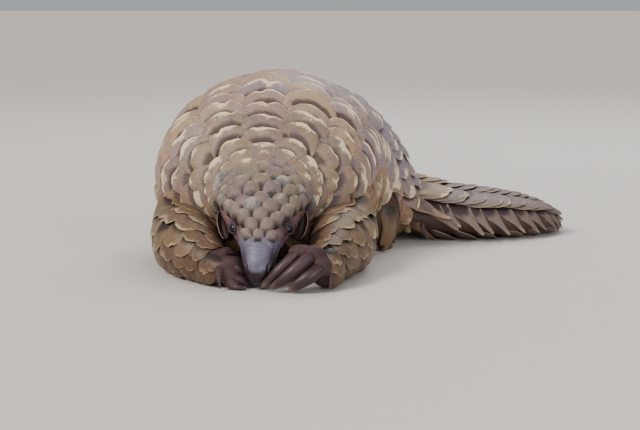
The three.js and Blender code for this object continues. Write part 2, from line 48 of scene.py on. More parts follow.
# The trunk from nose to tail tip, measured from the floor under the front of the forefeet: where its
# middle is, its half width, and how far it reaches up to the back and down to the belly.
trunkStations = {
    "noseTip": {"at": (-3, 13, 5.5), "wide": 3, "up": 2.4, "down": 2},
    "noseEnd": {"at": (-3, 13.4, 9), "wide": 8.6, "up": 6.4, "down": 6},
    "nostrils": {"at": (-2.5, 16, 16.5), "wide": 12.4, "up": 9.8, "down": 9.5},
    "snout": {"at": (-2, 23, 27), "wide": 15.5, "up": 13, "down": 13},
    "snoutBase": {"at": (-1, 34.8, 40), "wide": 20, "up": 15, "down": 16},
    "eyes": {"at": (0, 48, 52), "wide": 30, "up": 20, "down": 20},
    "cheeks": {"at": (0, 62.5, 63.7), "wide": 38, "up": 24, "down": 25},
    "crown": {"at": (0, 82, 72), "wide": 44, "up": 31, "down": 32},
    "nape": {"at": (0, 105, 77), "wide": 56, "up": 40, "down": 42},
    "neck": {"at": (0, 127, 79), "wide": 82, "up": 60, "down": 64},
    "withers": {"at": (0, 150, 80), "wide": 99, "up": 81, "down": 74},
    "shoulders": {"at": (0, 180, 80), "wide": 110, "up": 97, "down": 75},
    "back": {"at": (4, 220, 80), "wide": 114, "up": 106, "down": 76},
    "loin": {"at": (20, 268, 79), "wide": 112, "up": 105, "down": 75},
    "hips": {"at": (58, 314, 72), "wide": 104, "up": 92, "down": 68},
    "rump": {"at": (104, 342, 55), "wide": 86, "up": 66, "down": 50},
    "tailRoot": {"at": (146, 352, 36), "wide": 70, "up": 37, "down": 31},
    "tailBase": {"at": (178, 352, 28), "wide": 63, "up": 34, "down": 26},
    "tailThird": {"at": (212, 350, 24), "wide": 59, "up": 32, "down": 22.5},
    "tailHalf": {"at": (250, 352, 22), "wide": 52, "up": 29, "down": 20.5},
    "tailThin": {"at": (284, 362, 20), "wide": 42, "up": 24, "down": 18.5},
    "tailEnd": {"at": (310, 376, 17), "wide": 30, "up": 17, "down": 15.5},
    "tailRound": {"at": (326, 387, 12), "wide": 17, "up": 8, "down": 10},
    "tailTip": {"at": (334, 393, 8), "wide": 6, "up": 3, "down": 4},
}
forelegStations = {
    "left": {
        "shoulder": {"at": (76, 172, 62), "wide": 28, "up": 32, "down": 30},
        "elbow": {"at": (82, 132, 38), "wide": 28, "up": 30, "down": 36},
        "forearm": {"at": (72, 90, 33), "wide": 30, "up": 30, "down": 33},
        "wrist": {"at": (66, 55, 27), "wide": 23, "up": 25, "down": 26},
        "palm": {"at": (62, 30, 24), "wide": 18, "up": 19, "down": 24},
        "knuckles": {"at": (56, 15, 24), "wide": 15, "up": 16, "down": 22},
        "toes": {"at": (53, 8, 24), "wide": 8, "up": 9, "down": 12},
    },
    "right": {
        "shoulder": {"at": (-78, 176, 62), "wide": 28, "up": 32, "down": 30},
        "elbow": {"at": (-83, 136, 38), "wide": 28, "up": 30, "down": 36},
        "forearm": {"at": (-74, 94, 33), "wide": 29, "up": 30, "down": 33},
        "wrist": {"at": (-59, 62, 27), "wide": 24, "up": 25, "down": 26},
        "palm": {"at": (-46, 41, 22), "wide": 17, "up": 17, "down": 22},
        "knuckles": {"at": (-37, 29, 19), "wide": 13, "up": 13, "down": 18},
        "toes": {"at": (-30, 22, 17), "wide": 9, "up": 10, "down": 13},
    },
}
toesFacing = (-0.5, -0.86, 0)
hindlegStations = {
    "left": {
        "hip": {"at": (96, 272, 64), "wide": 30, "up": 34, "down": 34},
        "knee": {"at": (114, 256, 44), "wide": 30, "up": 32, "down": 28},
        "shank": {"at": (115, 255, 26), "wide": 25, "up": 25, "down": 24},
        "ankle": {"at": (112, 260, 13), "wide": 21, "up": 22, "down": 20},
        "sole": {"at": (110, 261, -2), "wide": 21, "up": 23, "down": 20},
    },
    "right": {
        "hip": {"at": (34, 346, 64), "wide": 30, "up": 34, "down": 34},
        "knee": {"at": (16, 370, 44), "wide": 30, "up": 32, "down": 28},
        "shank": {"at": (13, 380, 26), "wide": 25, "up": 25, "down": 24},
        "ankle": {"at": (14, 383, 13), "wide": 22, "up": 22, "down": 20},
        "sole": {"at": (15, 384, -2), "wide": 22, "up": 24, "down": 20},
    },
}
foreclaws = {
    "left": [
        {"root": (36.5, 13, 38.5), "tip": (1.5, 6, 4.6), "bow": 6, "wide": 5.4, "deep": 5.2},
        {"root": (51, 8, 38), "tip": (10, 0, 4), "bow": 7, "wide": 6.2, "deep": 6.2},
        {"root": (59, 6, 25), "tip": (27, -2, 4.2), "bow": 6, "wide": 7, "deep": 6.6},
        {"root": (44, 26, 38), "tip": (26, 24, 33), "bow": 3, "wide": 2.6, "deep": 3},
        {"root": (66, 12, 21), "tip": (64.5, 3, 3), "bow": 2, "wide": 2.6, "deep": 2.6},
    ],
    "right": [
        {"root": (-29, 22, 24.9), "tip": (-8, 45.5, 9), "bow": 6, "wide": 5.5, "deep": 6.5},
        {"root": (-29, 20, 12.6), "tip": (-10, 34, 4.4), "bow": 6, "wide": 5.1, "deep": 6.1},
        {"root": (-28, 17, 3.6), "tip": (-12, 13, 2.4), "bow": 2, "wide": 3, "deep": 3.4},
        {"root": (-36, 36, 34), "tip": (-22, 46, 29), "bow": 3, "wide": 2.4, "deep": 2.8},
        {"root": (-39, 15, 20), "tip": (-37, 9, 2.4), "bow": 1.5, "wide": 2.2, "deep": 2.2},
    ],
}
hindclaw = {"turns": (-56, -28, 0, 28, 56), "high": 9, "tip": 1, "long": 16, "root": 5,
            "wide": 3.4, "deep": 3, "bow": 1.5}
eye = {"past": "eyes", "by": -3, "turn": 81, "radius": 5.4, "inset": 3.4}
nostril = {"past": "nostrils", "by": 2, "turn": 50}


def smooth(knots, values, s):
    # the cubic through every knot, with its ends held beyond them
    s = np.clip(s, knots[0], knots[-1])
    last = len(knots) - 1
    before = np.maximum(np.arange(last + 1) - 1, 0)
    after = np.minimum(np.arange(last + 1) + 1, last)
    slopes = (values[after] - values[before]) / (knots[after] - knots[before])[:, None]
    i = np.clip(np.searchsorted(knots, s, side="right") - 1, 0, last - 1)
    gap = (knots[i + 1] - knots[i])[..., None]
    t = (s[..., None] - knots[i][..., None]) / gap
    return (values[i] * (2 * t**3 - 3 * t**2 + 1) + slopes[i] * gap * (t**3 - 2 * t**2 + t)
            + values[i + 1] * (3 * t**2 - 2 * t**3) + slopes[i + 1] * gap * (t**3 - t**2))


def unit(vectors):
    return vectors / np.maximum(np.linalg.norm(vectors, axis=-1, keepdims=True), 1e-9)


def ease(value, low, high):
    t = np.clip((value - low) / (high - low), 0, 1)
    return t * t * (3 - 2 * t)


def draw(column, row, kind=0):
    # a steady draw between -1 and 1 for a column and a row
    value = np.sin(column * 12.9898 + row * 78.233 + kind * 37.719) * 43758.5453
    return 2 * (value - np.floor(value)) - 1


class Form:
    # a bent tube through named stations; a turn is measured from its back towards the animal's left
    def __init__(self, stations, facing=(0, 0, 1)):
        self.names = list(stations)
        self.rows = np.array([(*x["at"], x["wide"], x["up"], x["down"]) for x in stations.values()], float)
        gaps = np.linalg.norm(np.diff(self.rows[:, :3], axis=0), axis=1)
        self.reach = np.concatenate([[0], np.cumsum(gaps)])
        self.length = self.reach[-1]
        self.facing = np.array(facing, float)

    def place(self, name):
        return self.reach[self.names.index(name)]

    def middle(self, s):
        return smooth(self.reach, self.rows[:, :3], np.asarray(s, float))

    def axes(self, s):
        near = np.maximum(0, s - 0.5)
        far = np.minimum(self.length, s + 0.5)
        along = unit(self.middle(far) - self.middle(near))
        side = unit(np.cross(along, self.facing))
        return along, side, np.cross(side, along)

    def flat(self, s, turn):
        _, side, out = self.axes(s)
        row = smooth(self.reach, self.rows, s)
        height = np.cos(turn)
        tall = np.where(height > 0, row[..., 4], row[..., 5])
        return (row[..., :3] + side * (row[..., 3] * np.sin(turn))[..., None]
                + out * (tall * height)[..., None])

    def steps(self, s, turn):
        # how far the surface moves for a step along it and for a turn round it
        low = np.maximum(0, s - 0.5)
        high = np.minimum(self.length, s + 0.5)
        along = (self.flat(high, turn) - self.flat(low, turn)) / (high - low)[..., None]
        return along, (self.flat(s, turn + 0.01) - self.flat(s, turn - 0.01)) / 0.02

    def normal(self, s, turn):
        along, around = self.steps(s, turn)
        return unit(np.cross(around, along))

    def point(self, s, turn, lift=0):
        s, turn, lift = np.broadcast_arrays(*(np.asarray(x, float) for x in (s, turn, lift)))
        return self.flat(s, turn) + self.normal(s, turn) * lift[..., None]


trunk = Form(trunkStations)
# The build moved the animal to the middle of its box by whole millimetres; its left eye shows how far.
mirror = {"left": 1, "right": -1}               # which way each side of the animal lies
eyePlace = trunk.place(eye["past"]) + eye["by"]
eyeSpots = {side: trunk.point(eyePlace, sign * eye["turn"] * degree, -eye["inset"])
            for side, sign in mirror.items()}
eyeLow, eyeHigh = (np.array(corner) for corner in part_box("eye_left"))
shift = np.round(eyeSpots["left"] - (eyeLow + eyeHigh) / 2 * metre)
legs = {}
for side in mirror:
    legs["foreleg_" + side] = Form(forelegStations[side])
    legs["hindleg_" + side] = Form(hindlegStations[side], toesFacing)
print("frame loaded, origin moved by", shift.tolist())


# Meshes from arrays of points in millimetres and of faces with three or four corners.
def addPiece(name, points, faces, values=None, spots=None):
    mesh = bpy.data.meshes.new(name)
    mesh.vertices.add(len(points))
    mesh.vertices.foreach_set("co", ((points - shift) / metre).astype(np.float32).ravel())
    corners = np.concatenate([part.ravel() for part in faces]).astype(np.int32)
    sizes = np.concatenate([np.full(len(part), part.shape[1]) for part in faces])
    mesh.loops.add(len(corners))
    mesh.loops.foreach_set("vertex_index", corners)
    mesh.polygons.add(len(sizes))
    mesh.polygons.foreach_set("loop_start", np.concatenate([[0], np.cumsum(sizes)[:-1]]).astype(np.int32))
    mesh.polygons.foreach_set("use_smooth", np.ones(len(sizes), bool))
    mesh.update(calc_edges=True)
    for key, value in (values or {}).items():
        layer = mesh.attributes.new(key, "FLOAT", "POINT")
        layer.data.foreach_set("value", value.astype(np.float32).ravel())
    if spots is not None:
        mesh.uv_layers.new(name="OFBake").data.foreach_set("uv", spots.astype(np.float32).ravel())
    piece = bpy.data.objects.new(name, mesh)
    bpy.context.scene.collection.objects.link(piece)
    return piece


def settle(piece, *changes):
    # runs modifiers on a piece and keeps their result as its mesh
    for kind, settings in changes:
        modifier = piece.modifiers.new(kind.lower(), kind)
        for key, value in settings.items():
            setattr(modifier, key, value)
    graph = bpy.context.evaluated_depsgraph_get()
    done = bpy.data.meshes.new_from_object(piece.evaluated_get(graph), depsgraph=graph)
    piece.modifiers.clear()
    old = piece.data
    piece.data = done
    bpy.data.meshes.remove(old)
    return piece


def ringFaces(rings, sides):
    # quads between closed rings of points, and fans to a middle point at either end
    around = np.arange(sides)
    following = (around + 1) % sides
    starts = np.arange(rings - 1)[:, None] * sides
    a = (starts + around).ravel()
    b = (starts + following).ravel()
    quads = np.stack([a, b, b + sides, a + sides], 1)
    last = (rings - 1) * sides
    first = np.full(sides, rings * sides)
    caps = np.concatenate([np.stack([first, following, around], 1),
                           np.stack([first + 1, last + around, last + following], 1)])
    return quads, caps


def plateFaces(rows, across):
    # a closed plate of two grids of points: the faces of both, and the walls between their edges
    top = np.arange(rows * across).reshape(rows, across)
    under = top + rows * across
    edge = np.concatenate([top[0, :-1], top[:-1, -1], top[-1, :0:-1], top[:0:-1, 0]])
    low = edge + rows * across
    plates = np.concatenate([
        np.stack([top[:-1, :-1], top[:-1, 1:], top[1:, 1:], top[1:, :-1]], -1).reshape(-1, 4),
        np.stack([under[:-1, :-1], under[1:, :-1], under[1:, 1:], under[:-1, 1:]], -1).reshape(-1, 4)])
    walls = np.stack([np.roll(edge, -1), edge, low, np.roll(low, -1)], -1)
    return plates, walls


def tube(form, stops, sides, swell=0.0, relief=None):
    # a closed skin through rings at the given distances, moved out by swell and relief
    s, turn = np.meshgrid(np.asarray(stops, float), np.arange(sides) * 2 * math.pi / sides, indexing="ij")
    lift = np.full(s.shape, float(swell)) if relief is None else relief(s, turn) + swell
    points = form.point(s, turn, lift).reshape(-1, 3)
    ends = np.array([form.middle(stops[0]), form.middle(stops[-1])])
    return np.concatenate([points, ends]), list(ringFaces(len(stops), sides))


# Finishes: a value of a material's tree that takes sums, and the tree itself.
class Value:
    def __init__(self, finish, socket):
        self.finish = finish
        self.socket = socket

    def math(self, operation, first, second):
        return self.finish.node("Math", {"operation": operation}, {0: first, 1: second})

    def __add__(self, other):
        return self.math("ADD", self, other)

    def __sub__(self, other):
        return self.math("SUBTRACT", self, other)

    def __rsub__(self, other):
        return self.math("SUBTRACT", other, self)

    def __mul__(self, other):
        return self.math("MULTIPLY", self, other)

    __radd__ = __add__
    __rmul__ = __mul__


class Finish:
    def __init__(self, name, **fixed):
        self.material = bpy.data.materials.new(name)
        self.material.use_nodes = True
        self.tree = self.material.node_tree
        self.shader = self.tree.nodes["Principled BSDF"]
        for socket, value in fixed.items():
            self.shader.inputs[socket.replace("_", " ")].default_value = value

    def node(self, kind, settings=None, inputs=None, output=0):
        made = self.tree.nodes.new("ShaderNode" + kind)
        for key, value in (settings or {}).items():
            setattr(made, key, value)
        for key, value in (inputs or {}).items():
            self.feed(made.inputs[key], value)
        return Value(self, made.outputs[output])

    def feed(self, socket, value):
        if isinstance(value, Value):
            self.tree.links.new(value.socket, socket)
        else:
            socket.default_value = value

    def attribute(self, name):
        return self.node("Attribute", {"attribute_name": name}, output=2)

    def vector(self, x, y, z):
        return self.node("CombineXYZ", inputs={0: x, 1: y, 2: z})

    def noise(self, place, scale, detail=3.0, rough=0.5):
        return self.node("TexNoise", inputs={"Vector": place, "Scale": scale, "Detail": detail,
                                             "Roughness": rough})

    def fade(self, value, low, high):
        return self.node("MapRange", {"interpolation_type": "SMOOTHSTEP"},
                         {"Value": value, "From Min": low, "From Max": high})

    def mix(self, first, second, share):
        return self.node("Mix", {"data_type": "RGBA"}, {0: share, 6: first, 7: second}, output=2)

    def bump(self, height, strength, distance):
        return self.node("Bump", inputs={"Height": height, "Strength": strength, "Distance": distance})

    def finish(self, **links):
        for socket, value in links.items():
            self.feed(self.shader.inputs[socket.replace("_", " ")], value)
        return self.material


def colour(red, green, blue):
    # a colour as seen on a screen, in the shader's own linear numbers
    return (*(((c / 255 + 0.055) / 1.055) ** 2.4 for c in (red, green, blue)), 1.0)


# The camera stands where the picture was taken from and looks a little down.
shot = {"at": (55.3, -1355, 263), "down": 8, "lens": 84.4, "sensor": 36}
camera = bpy.data.objects.new("camera", bpy.data.cameras.new("camera"))
camera.data.sensor_width = shot["sensor"]
camera.data.lens = shot["lens"]
camera.location = Vector((np.array(shot["at"]) - shift) / metre)
camera.rotation_euler = ((90 - shot["down"]) * degree, 0, 0)
camera.data.clip_end = 100
bpy.context.scene.collection.objects.link(camera)
bpy.context.scene.camera = camera

# Soft studio light: a wide even key from the front left, a fill in front and a light behind.
lamps = {
    "key": {"kind": "SUN", "at": (-1.35, -1.2, 1.5), "spread": 24, "watts": 2.9, "tint": (1, 0.955, 0.905)},
    "fill": {"kind": "AREA", "at": (0.8, -1.9, 0.8), "spread": 1.6, "watts": 20, "tint": (0.96, 0.96, 1.0)},
    "back": {"kind": "AREA", "at": (0.5, 1.4, 1.9), "spread": 1.4, "watts": 24, "tint": (0.93, 0.96, 1.0)},
}
for name, lamp in lamps.items():
    light = bpy.data.lights.new(name, lamp["kind"])
    if lamp["kind"] == "SUN":
        light.angle = lamp["spread"] * degree
    else:
        light.size = lamp["spread"]
    light.energy = lamp["watts"]
    light.color = lamp["tint"]
    stand = bpy.data.objects.new(name, light)
    stand.location = lamp["at"]
    stand.rotation_euler = (-Vector(lamp["at"])).to_track_quat("-Z", "Y").to_euler()
    bpy.context.scene.collection.objects.link(stand)
airLook = {"Color": (0.86, 0.88, 0.9, 1), "Strength": 0.48}
world = bpy.data.worlds.new("studio")
world.use_nodes = True
for socket, value in airLook.items():
    world.node_tree.nodes["Background"].inputs[socket].default_value = value
bpy.context.scene.world = world

floorLook = {"radius": 60, "sides": 96, "tint": colour(214, 208, 200)}
angles = np.arange(floorLook["sides"]) * 2 * math.pi / floorLook["sides"]
rim = np.stack([np.cos(angles), np.sin(angles), 0 * angles], 1) * floorLook["radius"] * metre + shift
floor = addPiece("floor", rim, [np.arange(floorLook["sides"])[None, :]])
floorFinish = Finish("paleFloor", Base_Color=floorLook["tint"], Roughness=0.85)
floor.data.materials.append(floorFinish.material)
print("camera, light and floor")


# The coat: where each scale sits and how large it is. The angle between columns, the distance from one row
# to the next, half the width as a share of the column, the length, how high the free edge stands, how
# pointed it is, how deep its edge is rounded, how far round from the middle column scales reach, how many
# degrees the lowest ones fan out, and how rough the free edge is worn.
coatKeys = ("turn", "step", "wide", "long", "lift", "point", "round", "edge", "fan", "rough")
trunkCoat = {
    "snoutBase": (18, 9.8, 0.98, 23, 2.8, 0.0, 0.68, 50, 0, 0.2),
    "eyes": (16, 10.2, 0.98, 23, 3.0, 0.0, 0.68, 60, 0, 0.2),
    "cheeks": (14, 9.4, 0.98, 23, 3.0, 0.0, 0.7, 78, 0, 0.3),
    "crown": (15, 7.6, 0.95, 23, 3.0, 0.0, 0.75, 104, 0, 0.4),
    "nape": (22, 7.2, 0.84, 27, 3.4, 0.05, 0.85, 138, 0, 0.8),
    "neck": (27, 7.0, 0.78, 34, 3.8, 0.05, 0.95, 140, 0, 1.3),
    "withers": (25.5, 9.4, 0.74, 44, 4.2, 0.05, 1.1, 132, 0, 1.2),
    "shoulders": (23.5, 12.6, 0.72, 54, 4.6, 0.05, 1.15, 130, 3, 0.5),
    "back": (22.5, 13.2, 0.72, 56, 4.8, 0.05, 1.15, 138, 6, 0.35),
    "hips": (24, 12, 0.74, 52, 4.8, 0.12, 1.1, 146, 10, 0.3),
    "rump": (30, 11, 0.74, 50, 4.6, 0.15, 1.1, 124, 20, 0.3),
    "tailRoot": (29, 8, 0.76, 48, 3.6, 0.1, 1.05, 92, 56, 0.3),
    "tailThird": (26, 7.2, 0.84, 46, 3.0, 0.1, 1.05, 70, 92, 0.3),
    "tailRound": (26, 7, 0.8, 28, 2.4, 0.2, 1.0, 70, 60, 0.3),
}
tailUnderCoat = {
    "tailBase": (36, 13, 0.7, 36, 3.2, 0.35, 0.8, 40, 0, 0.2),
    "tailEnd": (40, 11, 0.7, 26, 2.4, 0.35, 0.8, 44, 0, 0.2),
}
hindlegCoat = {
    "hip": (34, 9.5, 0.74, 38, 4.2, 0.3, 0.9, 130, 0, 0.3),
    "knee": (34, 8.5, 0.8, 34, 4.4, 0.4, 1.0, 140, 0, 0.3),
    "shank": (34, 8, 0.84, 27, 4.4, 0.4, 1.0, 150, 0, 0.3),
}
# The scales of a foreleg run in chains round it: outwards over its top, then down its outer side. By the
# place on the leg: the pitch along a chain, the gap to the next chain, length, half width and lift.
chains = {
    "before": 60, "after": 40, "from": -68, "to": 158, "stagger": (4, 12), "elbow": -28, "knuckles": 3,
    "lies": ((-60, 66), (0, 80), (45, 98), (80, 122), (150, 132)),
    "sizes": {"shoulder": (21, 27, 46, 21.5, 3.6), "elbow": (21, 27, 46, 21, 3.6),
              "forearm": (19.5, 22, 42, 17.5, 3.2), "wrist": (15.5, 16, 32, 12.5, 2.6),
              "palm": (12, 11, 24, 9, 1.8), "toes": (9, 9, 18, 7, 1.4)},
}
varied = {"place": 0.09, "turn": 0.06, "size": 0.07, "lift": 0.14}
bluish = {"behind": (120, 260), "left": (-70, 60), "high": (60, 140)}
coatEnds = {"snout": 14, "tailTip": 10, "hip": 8, "shank": 2}
# How rows follow the form: where along a scale its width is set, the least and most that the form may fold
# or stretch, and how many rows a scale shows. Margin scales stand in a row of blades beside the tail.
laid = {"middle": 0.55, "leastStretch": 0.2, "mostStretch": 1.8, "leastStep": 0.55, "rowsShown": 2.9,
        "marginFrom": (34, 50), "marginFan": (30, 50), "marginLong": 0.05, "marginPoint": 1.1,
        "marginNarrow": 0.3, "marginRows": 1.6}


def blendAt(form, table, s):
    knots = np.array([form.place(name) for name in table])
    return smooth(knots, np.array(list(table.values()), float), np.asarray(s, float))


def coatAt(form, coat, s):
    return dict(zip(coatKeys, np.moveaxis(blendAt(form, coat, s), -1, 0)))


def stepLengths(form, s, turn):
    # how far a form's surface moves at one place for a step along it and for a turn round it
    return [float(np.linalg.norm(move)) for move in form.steps(np.array(float(s)), np.array(float(turn)))]


def cool(place):
    # how bluish a scale is: most on the back, behind and to its left
    return float(ease(place[1], *bluish["behind"]) * ease(place[0], *bluish["left"])
                 * ease(place[2], *bluish["high"]))


def spotAt(form, s, turn, lie, shape, column, row):
    # one scale of a coat: its root, the way it points, its size and what varies it
    place = form.point(s, turn)
    return {"s": s, "turn": turn, "lie": lie, "column": column, "row": row,
            "long": shape["long"] * (1 + varied["size"] * draw(column, row, 2)),
            "wide": shape["wide"] * (1 + varied["size"] * draw(column, row, 3)),
            "lift": shape["lift"] * (1 + varied["lift"] * draw(column, row, 4)),
            "point": shape["point"], "round": shape["round"], "rough": shape["rough"],
            "bare": shape["bare"], "margin": shape.get("margin", 0), "sink": 1,
            "high": place[2], "chill": cool(place)}


def coatSpots(form, coat, start, end, about=0.0, mostColumns=9):
    # rows a step apart along a form, with the odd columns half a pitch behind the even ones
    spots = []
    s, row = start, 0
    while s < end:
        at = coatAt(form, coat, s)
        middleStep = stepLengths(form, s, about)[0]
        step = at["step"] / middleStep
        for column in range(-mostColumns, mostColumns + 1):
            away = column * at["turn"]
            if (row + column) % 2 or abs(away) > at["edge"]:
                continue
            angle = about + away * degree
            along = stepLengths(form, s, angle)[0]
            stretch = along / middleStep
            if stretch < laid["leastStretch"]:
                continue
            long = at["long"] * (0.4 + 0.6 * min(stretch, laid["mostStretch"]))
            sMiddle = min(s + laid["middle"] * long / max(along, laid["leastStep"]), form.length)
            there = coatAt(form, coat, sMiddle)
            around = stepLengths(form, sMiddle, about + column * there["turn"] * degree)[1]
            spread = column * (there["turn"] - at["turn"]) * degree * around / (laid["middle"] * long)
            margin = float(ease(abs(away), *laid["marginFrom"]) * ease(at["fan"], *laid["marginFan"]))
            rowsShown = laid["rowsShown"] + laid["marginRows"] * margin
            wide = at["wide"] * there["turn"] * degree * around * (1 - laid["marginNarrow"] * margin)
            shape = {**at, "margin": margin, "long": long * (1 + laid["marginLong"] * margin), "wide": wide,
                     "point": at["point"] + laid["marginPoint"] * margin,
                     "bare": min(0.95, rowsShown * at["step"] * max(stretch, 0.7) / long)}
            lie = math.atan(0.9 * spread) + at["fan"] * away / 90 * degree
            spots.append(spotAt(form, s + varied["place"] * step * draw(column, row),
                                angle + varied["turn"] * at["turn"] * degree * draw(column, row, 1),
                                lie, shape, column, row))
        s += step
        row += 1
    return spots


def chainSpots(form, outward):
    # chains that start on the inner side of a foreleg and follow the lie of its coat round it
    spots = []
    lieTurns, lies = np.array(chains["lies"], float).T
    begin = form.place("elbow") - chains["before"]
    chain = 0
    while begin < form.place("knuckles") + chains["after"]:
        s, turn, row = begin, chains["from"], chain % 2
        if row:
            s += chains["stagger"][0]
            turn += chains["stagger"][1]
        while turn < chains["to"] and s > 0:
            at = min(s, form.length - 1)
            pitch, _, long, wide, lift = blendAt(form, chains["sizes"], at)
            along, around = stepLengths(form, max(at, 0.6), outward * turn * degree)
            lie = np.interp(turn, lieTurns, lies) * degree
            covered = form.place("elbow") + chains["elbow"] < s < form.place("knuckles") + chains["knuckles"]
            if covered and (s < form.place("palm") or turn > 0):
                shape = {"long": long, "wide": wide, "lift": lift * (0.3 + 0.7 * float(ease(turn, -50, 50))),
                         "point": 0.05, "round": 0.8, "rough": 0.7, "bare": min(0.9, 1.25 * pitch / long)}
                spots.append(spotAt(form, s + 0.8 * draw(chain, row), outward * turn * degree,
                                    outward * (lie + 0.08 * draw(chain, row, 1)), shape, chain, row))
            s += pitch * math.cos(lie) / along
            turn += pitch * math.sin(lie) / around / degree
            row += 2
        begin += blendAt(form, chains["sizes"], max(begin, 0))[1]
        chain += 1
    return spots


scaleShape = {
    "rootWide": 0.72, "sunk": 0.6, "bevel": 0.55, "thick": 1.5, "tipThick": 0.9, "flute": 0.008,
    "wear": 0.045, "notch": 0.13, "underStrip": 0.09, "rooted": 1.4, "fullWidth": 28, "floorGap": 0.3,
    "crease": 48,
}
rowsAlong = np.array([0, 0.16, 0.32, 0.45, 0.56, 0.66, 0.75, 0.83, 0.9, 0.95, 0.982, 1.0])


def scaleCoat(name, form, spots, across, crown=0.1, stiff=0.2, hump=0.0):
    # every scale as a closed plate on the form; across is how many points its width has, crown how much
    # its middle stands over its sides, hump the same from root to tip, and stiff how flat it lies
    shape = scaleShape
    rows = len(rowsAlong)
    a = rowsAlong[None, :, None]
    b = np.sin(np.linspace(-1, 1, across) * 1.35)[None, None, :] / math.sin(1.35)
    pick = {key: np.array([spot[key] for spot in spots], float)[:, None, None] for key in spots[0]}
    column, row, wide, long = (pick[key] for key in ("column", "row", "wide", "long"))
    chance = [draw(column, row, 10 + kind) for kind in range(16)]

    # the outline, from a nearly straight root to a round or pointed free edge, worn and notched
    bend = (18 + 64 * ease(a, 0.15, 1)) * degree
    fan = shape["rootWide"] + (1 - shape["rootWide"]) * ease(a, 0, 0.55)
    narrow = 1 - pick["point"] * 0.55 * ease(a, 0.45, 1)
    x = wide * fan * narrow * np.sin(b * bend) / np.sin(bend)
    drop = pick["round"] * wide * (0.1 + 0.9 * ease(a, 0.1, 1)) * (1 + 0.9 * pick["point"])
    y = long * a - drop * (1 - np.cos(b * bend)) / (1 - np.cos(bend))
    wave = (0.5 * np.sin(3.1 * b + 3 * chance[0]) + 0.3 * np.sin(8.3 * b + 3 * chance[1])
            + 0.2 * np.sin(15.1 * b + 3 * chance[2]))
    nick = sum(np.clip(chance[3 + k] + 0.2, 0, 1)
               * np.exp(-(((b - 0.45 * chance[5 + k]) / (0.09 + 0.05 * k)) ** 2)) for k in range(2))
    rough = pick["rough"]
    worn = (shape["wear"] * (1 + wave) * (0.6 + 0.4 * chance[7]) + shape["notch"] * nick) * rough
    y = y - worn * long * ease(a, 0.72, 1) * (1 - 0.8 * np.abs(b) ** 3)

    # how high the plate's face stands: rising to its free edge, crowned, fluted and thinned at the edge
    height = pick["lift"] * (-shape["sunk"] + (1 + shape["sunk"]) * a * (1 - 0.5 * b**2) - 0.3 * b**2)
    height = height - shape["rooted"] * pick["sink"] * (1 - ease(a, 0, 0.22 * pick["sink"] ** 0.5))
    height = height + crown * wide * (1 - b**2) * ease(a, 0.05, 0.6)
    height = height + hump * wide * (np.sin(math.pi * np.clip(1.25 * a - 0.32, 0, 1)) - 0.3 * a)
    flute = np.sin(11 * b + 4 * chance[8]) + 0.6 * np.sin(23 * b + 4 * chance[9])
    height = height + shape["flute"] * wide * flute * ease(a, 0.3, 0.7) * (1 - b**4)
    size = np.clip(wide / shape["fullWidth"], 0.35, 1.1)
    thick = size * (shape["thick"] + (shape["tipThick"] - shape["thick"]) * ease(a, 0.5, 1))
    rim = np.maximum(ease(a, 0.955, 1), ease(np.abs(b), 0.93, 1) * ease(a, 0.1, 0.3))
    top = height - shape["bevel"] * thick * rim
    bottom = height - thick

    # wrapped on the form, and flatter than its skin by the plate's stiffness
    s0, turn0, lie = pick["s"], pick["turn"], pick["lie"]
    sMid = np.clip(s0 + 0.5 * long * np.cos(lie), 0.6, form.length - 0.6)
    along, around = form.steps(sMid, turn0)
    perLong = 1 / np.maximum(np.linalg.norm(along, axis=-1), laid["leastStep"])
    perWide = 1 / np.linalg.norm(around, axis=-1)
    s = s0 + (y * np.cos(lie) - x * np.sin(lie)) * perLong
    turn = turn0 + (x * np.cos(lie) + y * np.sin(lie)) * perWide
    base = form.flat(s, turn)
    out = form.normal(s, turn)
    half = 0.5 * long
    sHalf = s0 + half * np.cos(lie) * perLong
    turnHalf = turn0 + half * np.sin(lie) * perWide
    along, around = form.steps(sHalf, turnHalf)
    outHalf = unit(np.cross(around, along))
    forward, sideways = unit(along), unit(around)
    cosLie, sinLie = np.cos(lie)[..., None], np.sin(lie)[..., None]
    flat = (form.flat(sHalf, turnHalf) + (forward * cosLie + sideways * sinLie) * (y - half)[..., None]
            + (sideways * cosLie - forward * sinLie) * x[..., None])
    share = ((stiff + 0.4 * pick["margin"]) * ease(a, 0.3, 0.8))[..., None]
    base = base + share * (flat - base)
    out = unit(out + share * (outHalf - out))
    points = np.stack([base + out * top[..., None], base + out * bottom[..., None]], 1)
    points = points.reshape(len(spots), -1, 3)
    points[..., 2] = np.maximum(points[..., 2], shape["floorGap"])

    plates, walls = plateFaces(rows, across)
    each = (np.arange(len(spots)) * 2 * rows * across)[:, None, None]

    # what the finish reads
    ones = np.ones((len(spots), rows, across))

    def both(value):
        return np.stack([value * ones, value * ones], 1)

    tint = 0.45 * chance[13] + 0.55 * np.sin(pick["s"] / 31 + 2.3 * pick["turn"] + 0.9 * column)
    # edge marks the bevelled rim, where the finish paints a highlight; shown runs from where the scale before
    # ends to the free edge, and the finish paints shade where it is low; face is 0 on the underside, painted
    # as shade
    values = {"along": both(a), "across": both(b), "tone": both(chance[12]), "tint": both(tint),
              "edge": both(rim), "face": np.stack([ones, 0 * ones], 1), "wornEdge": both(worn),
              "shown": both(np.clip(1 - (1 - a) / pick["bare"], 0, 1)), "chill": both(pick["chill"]),
              "low": both(1 - ease(pick["high"] + 14 * chance[14], 30, 96))}

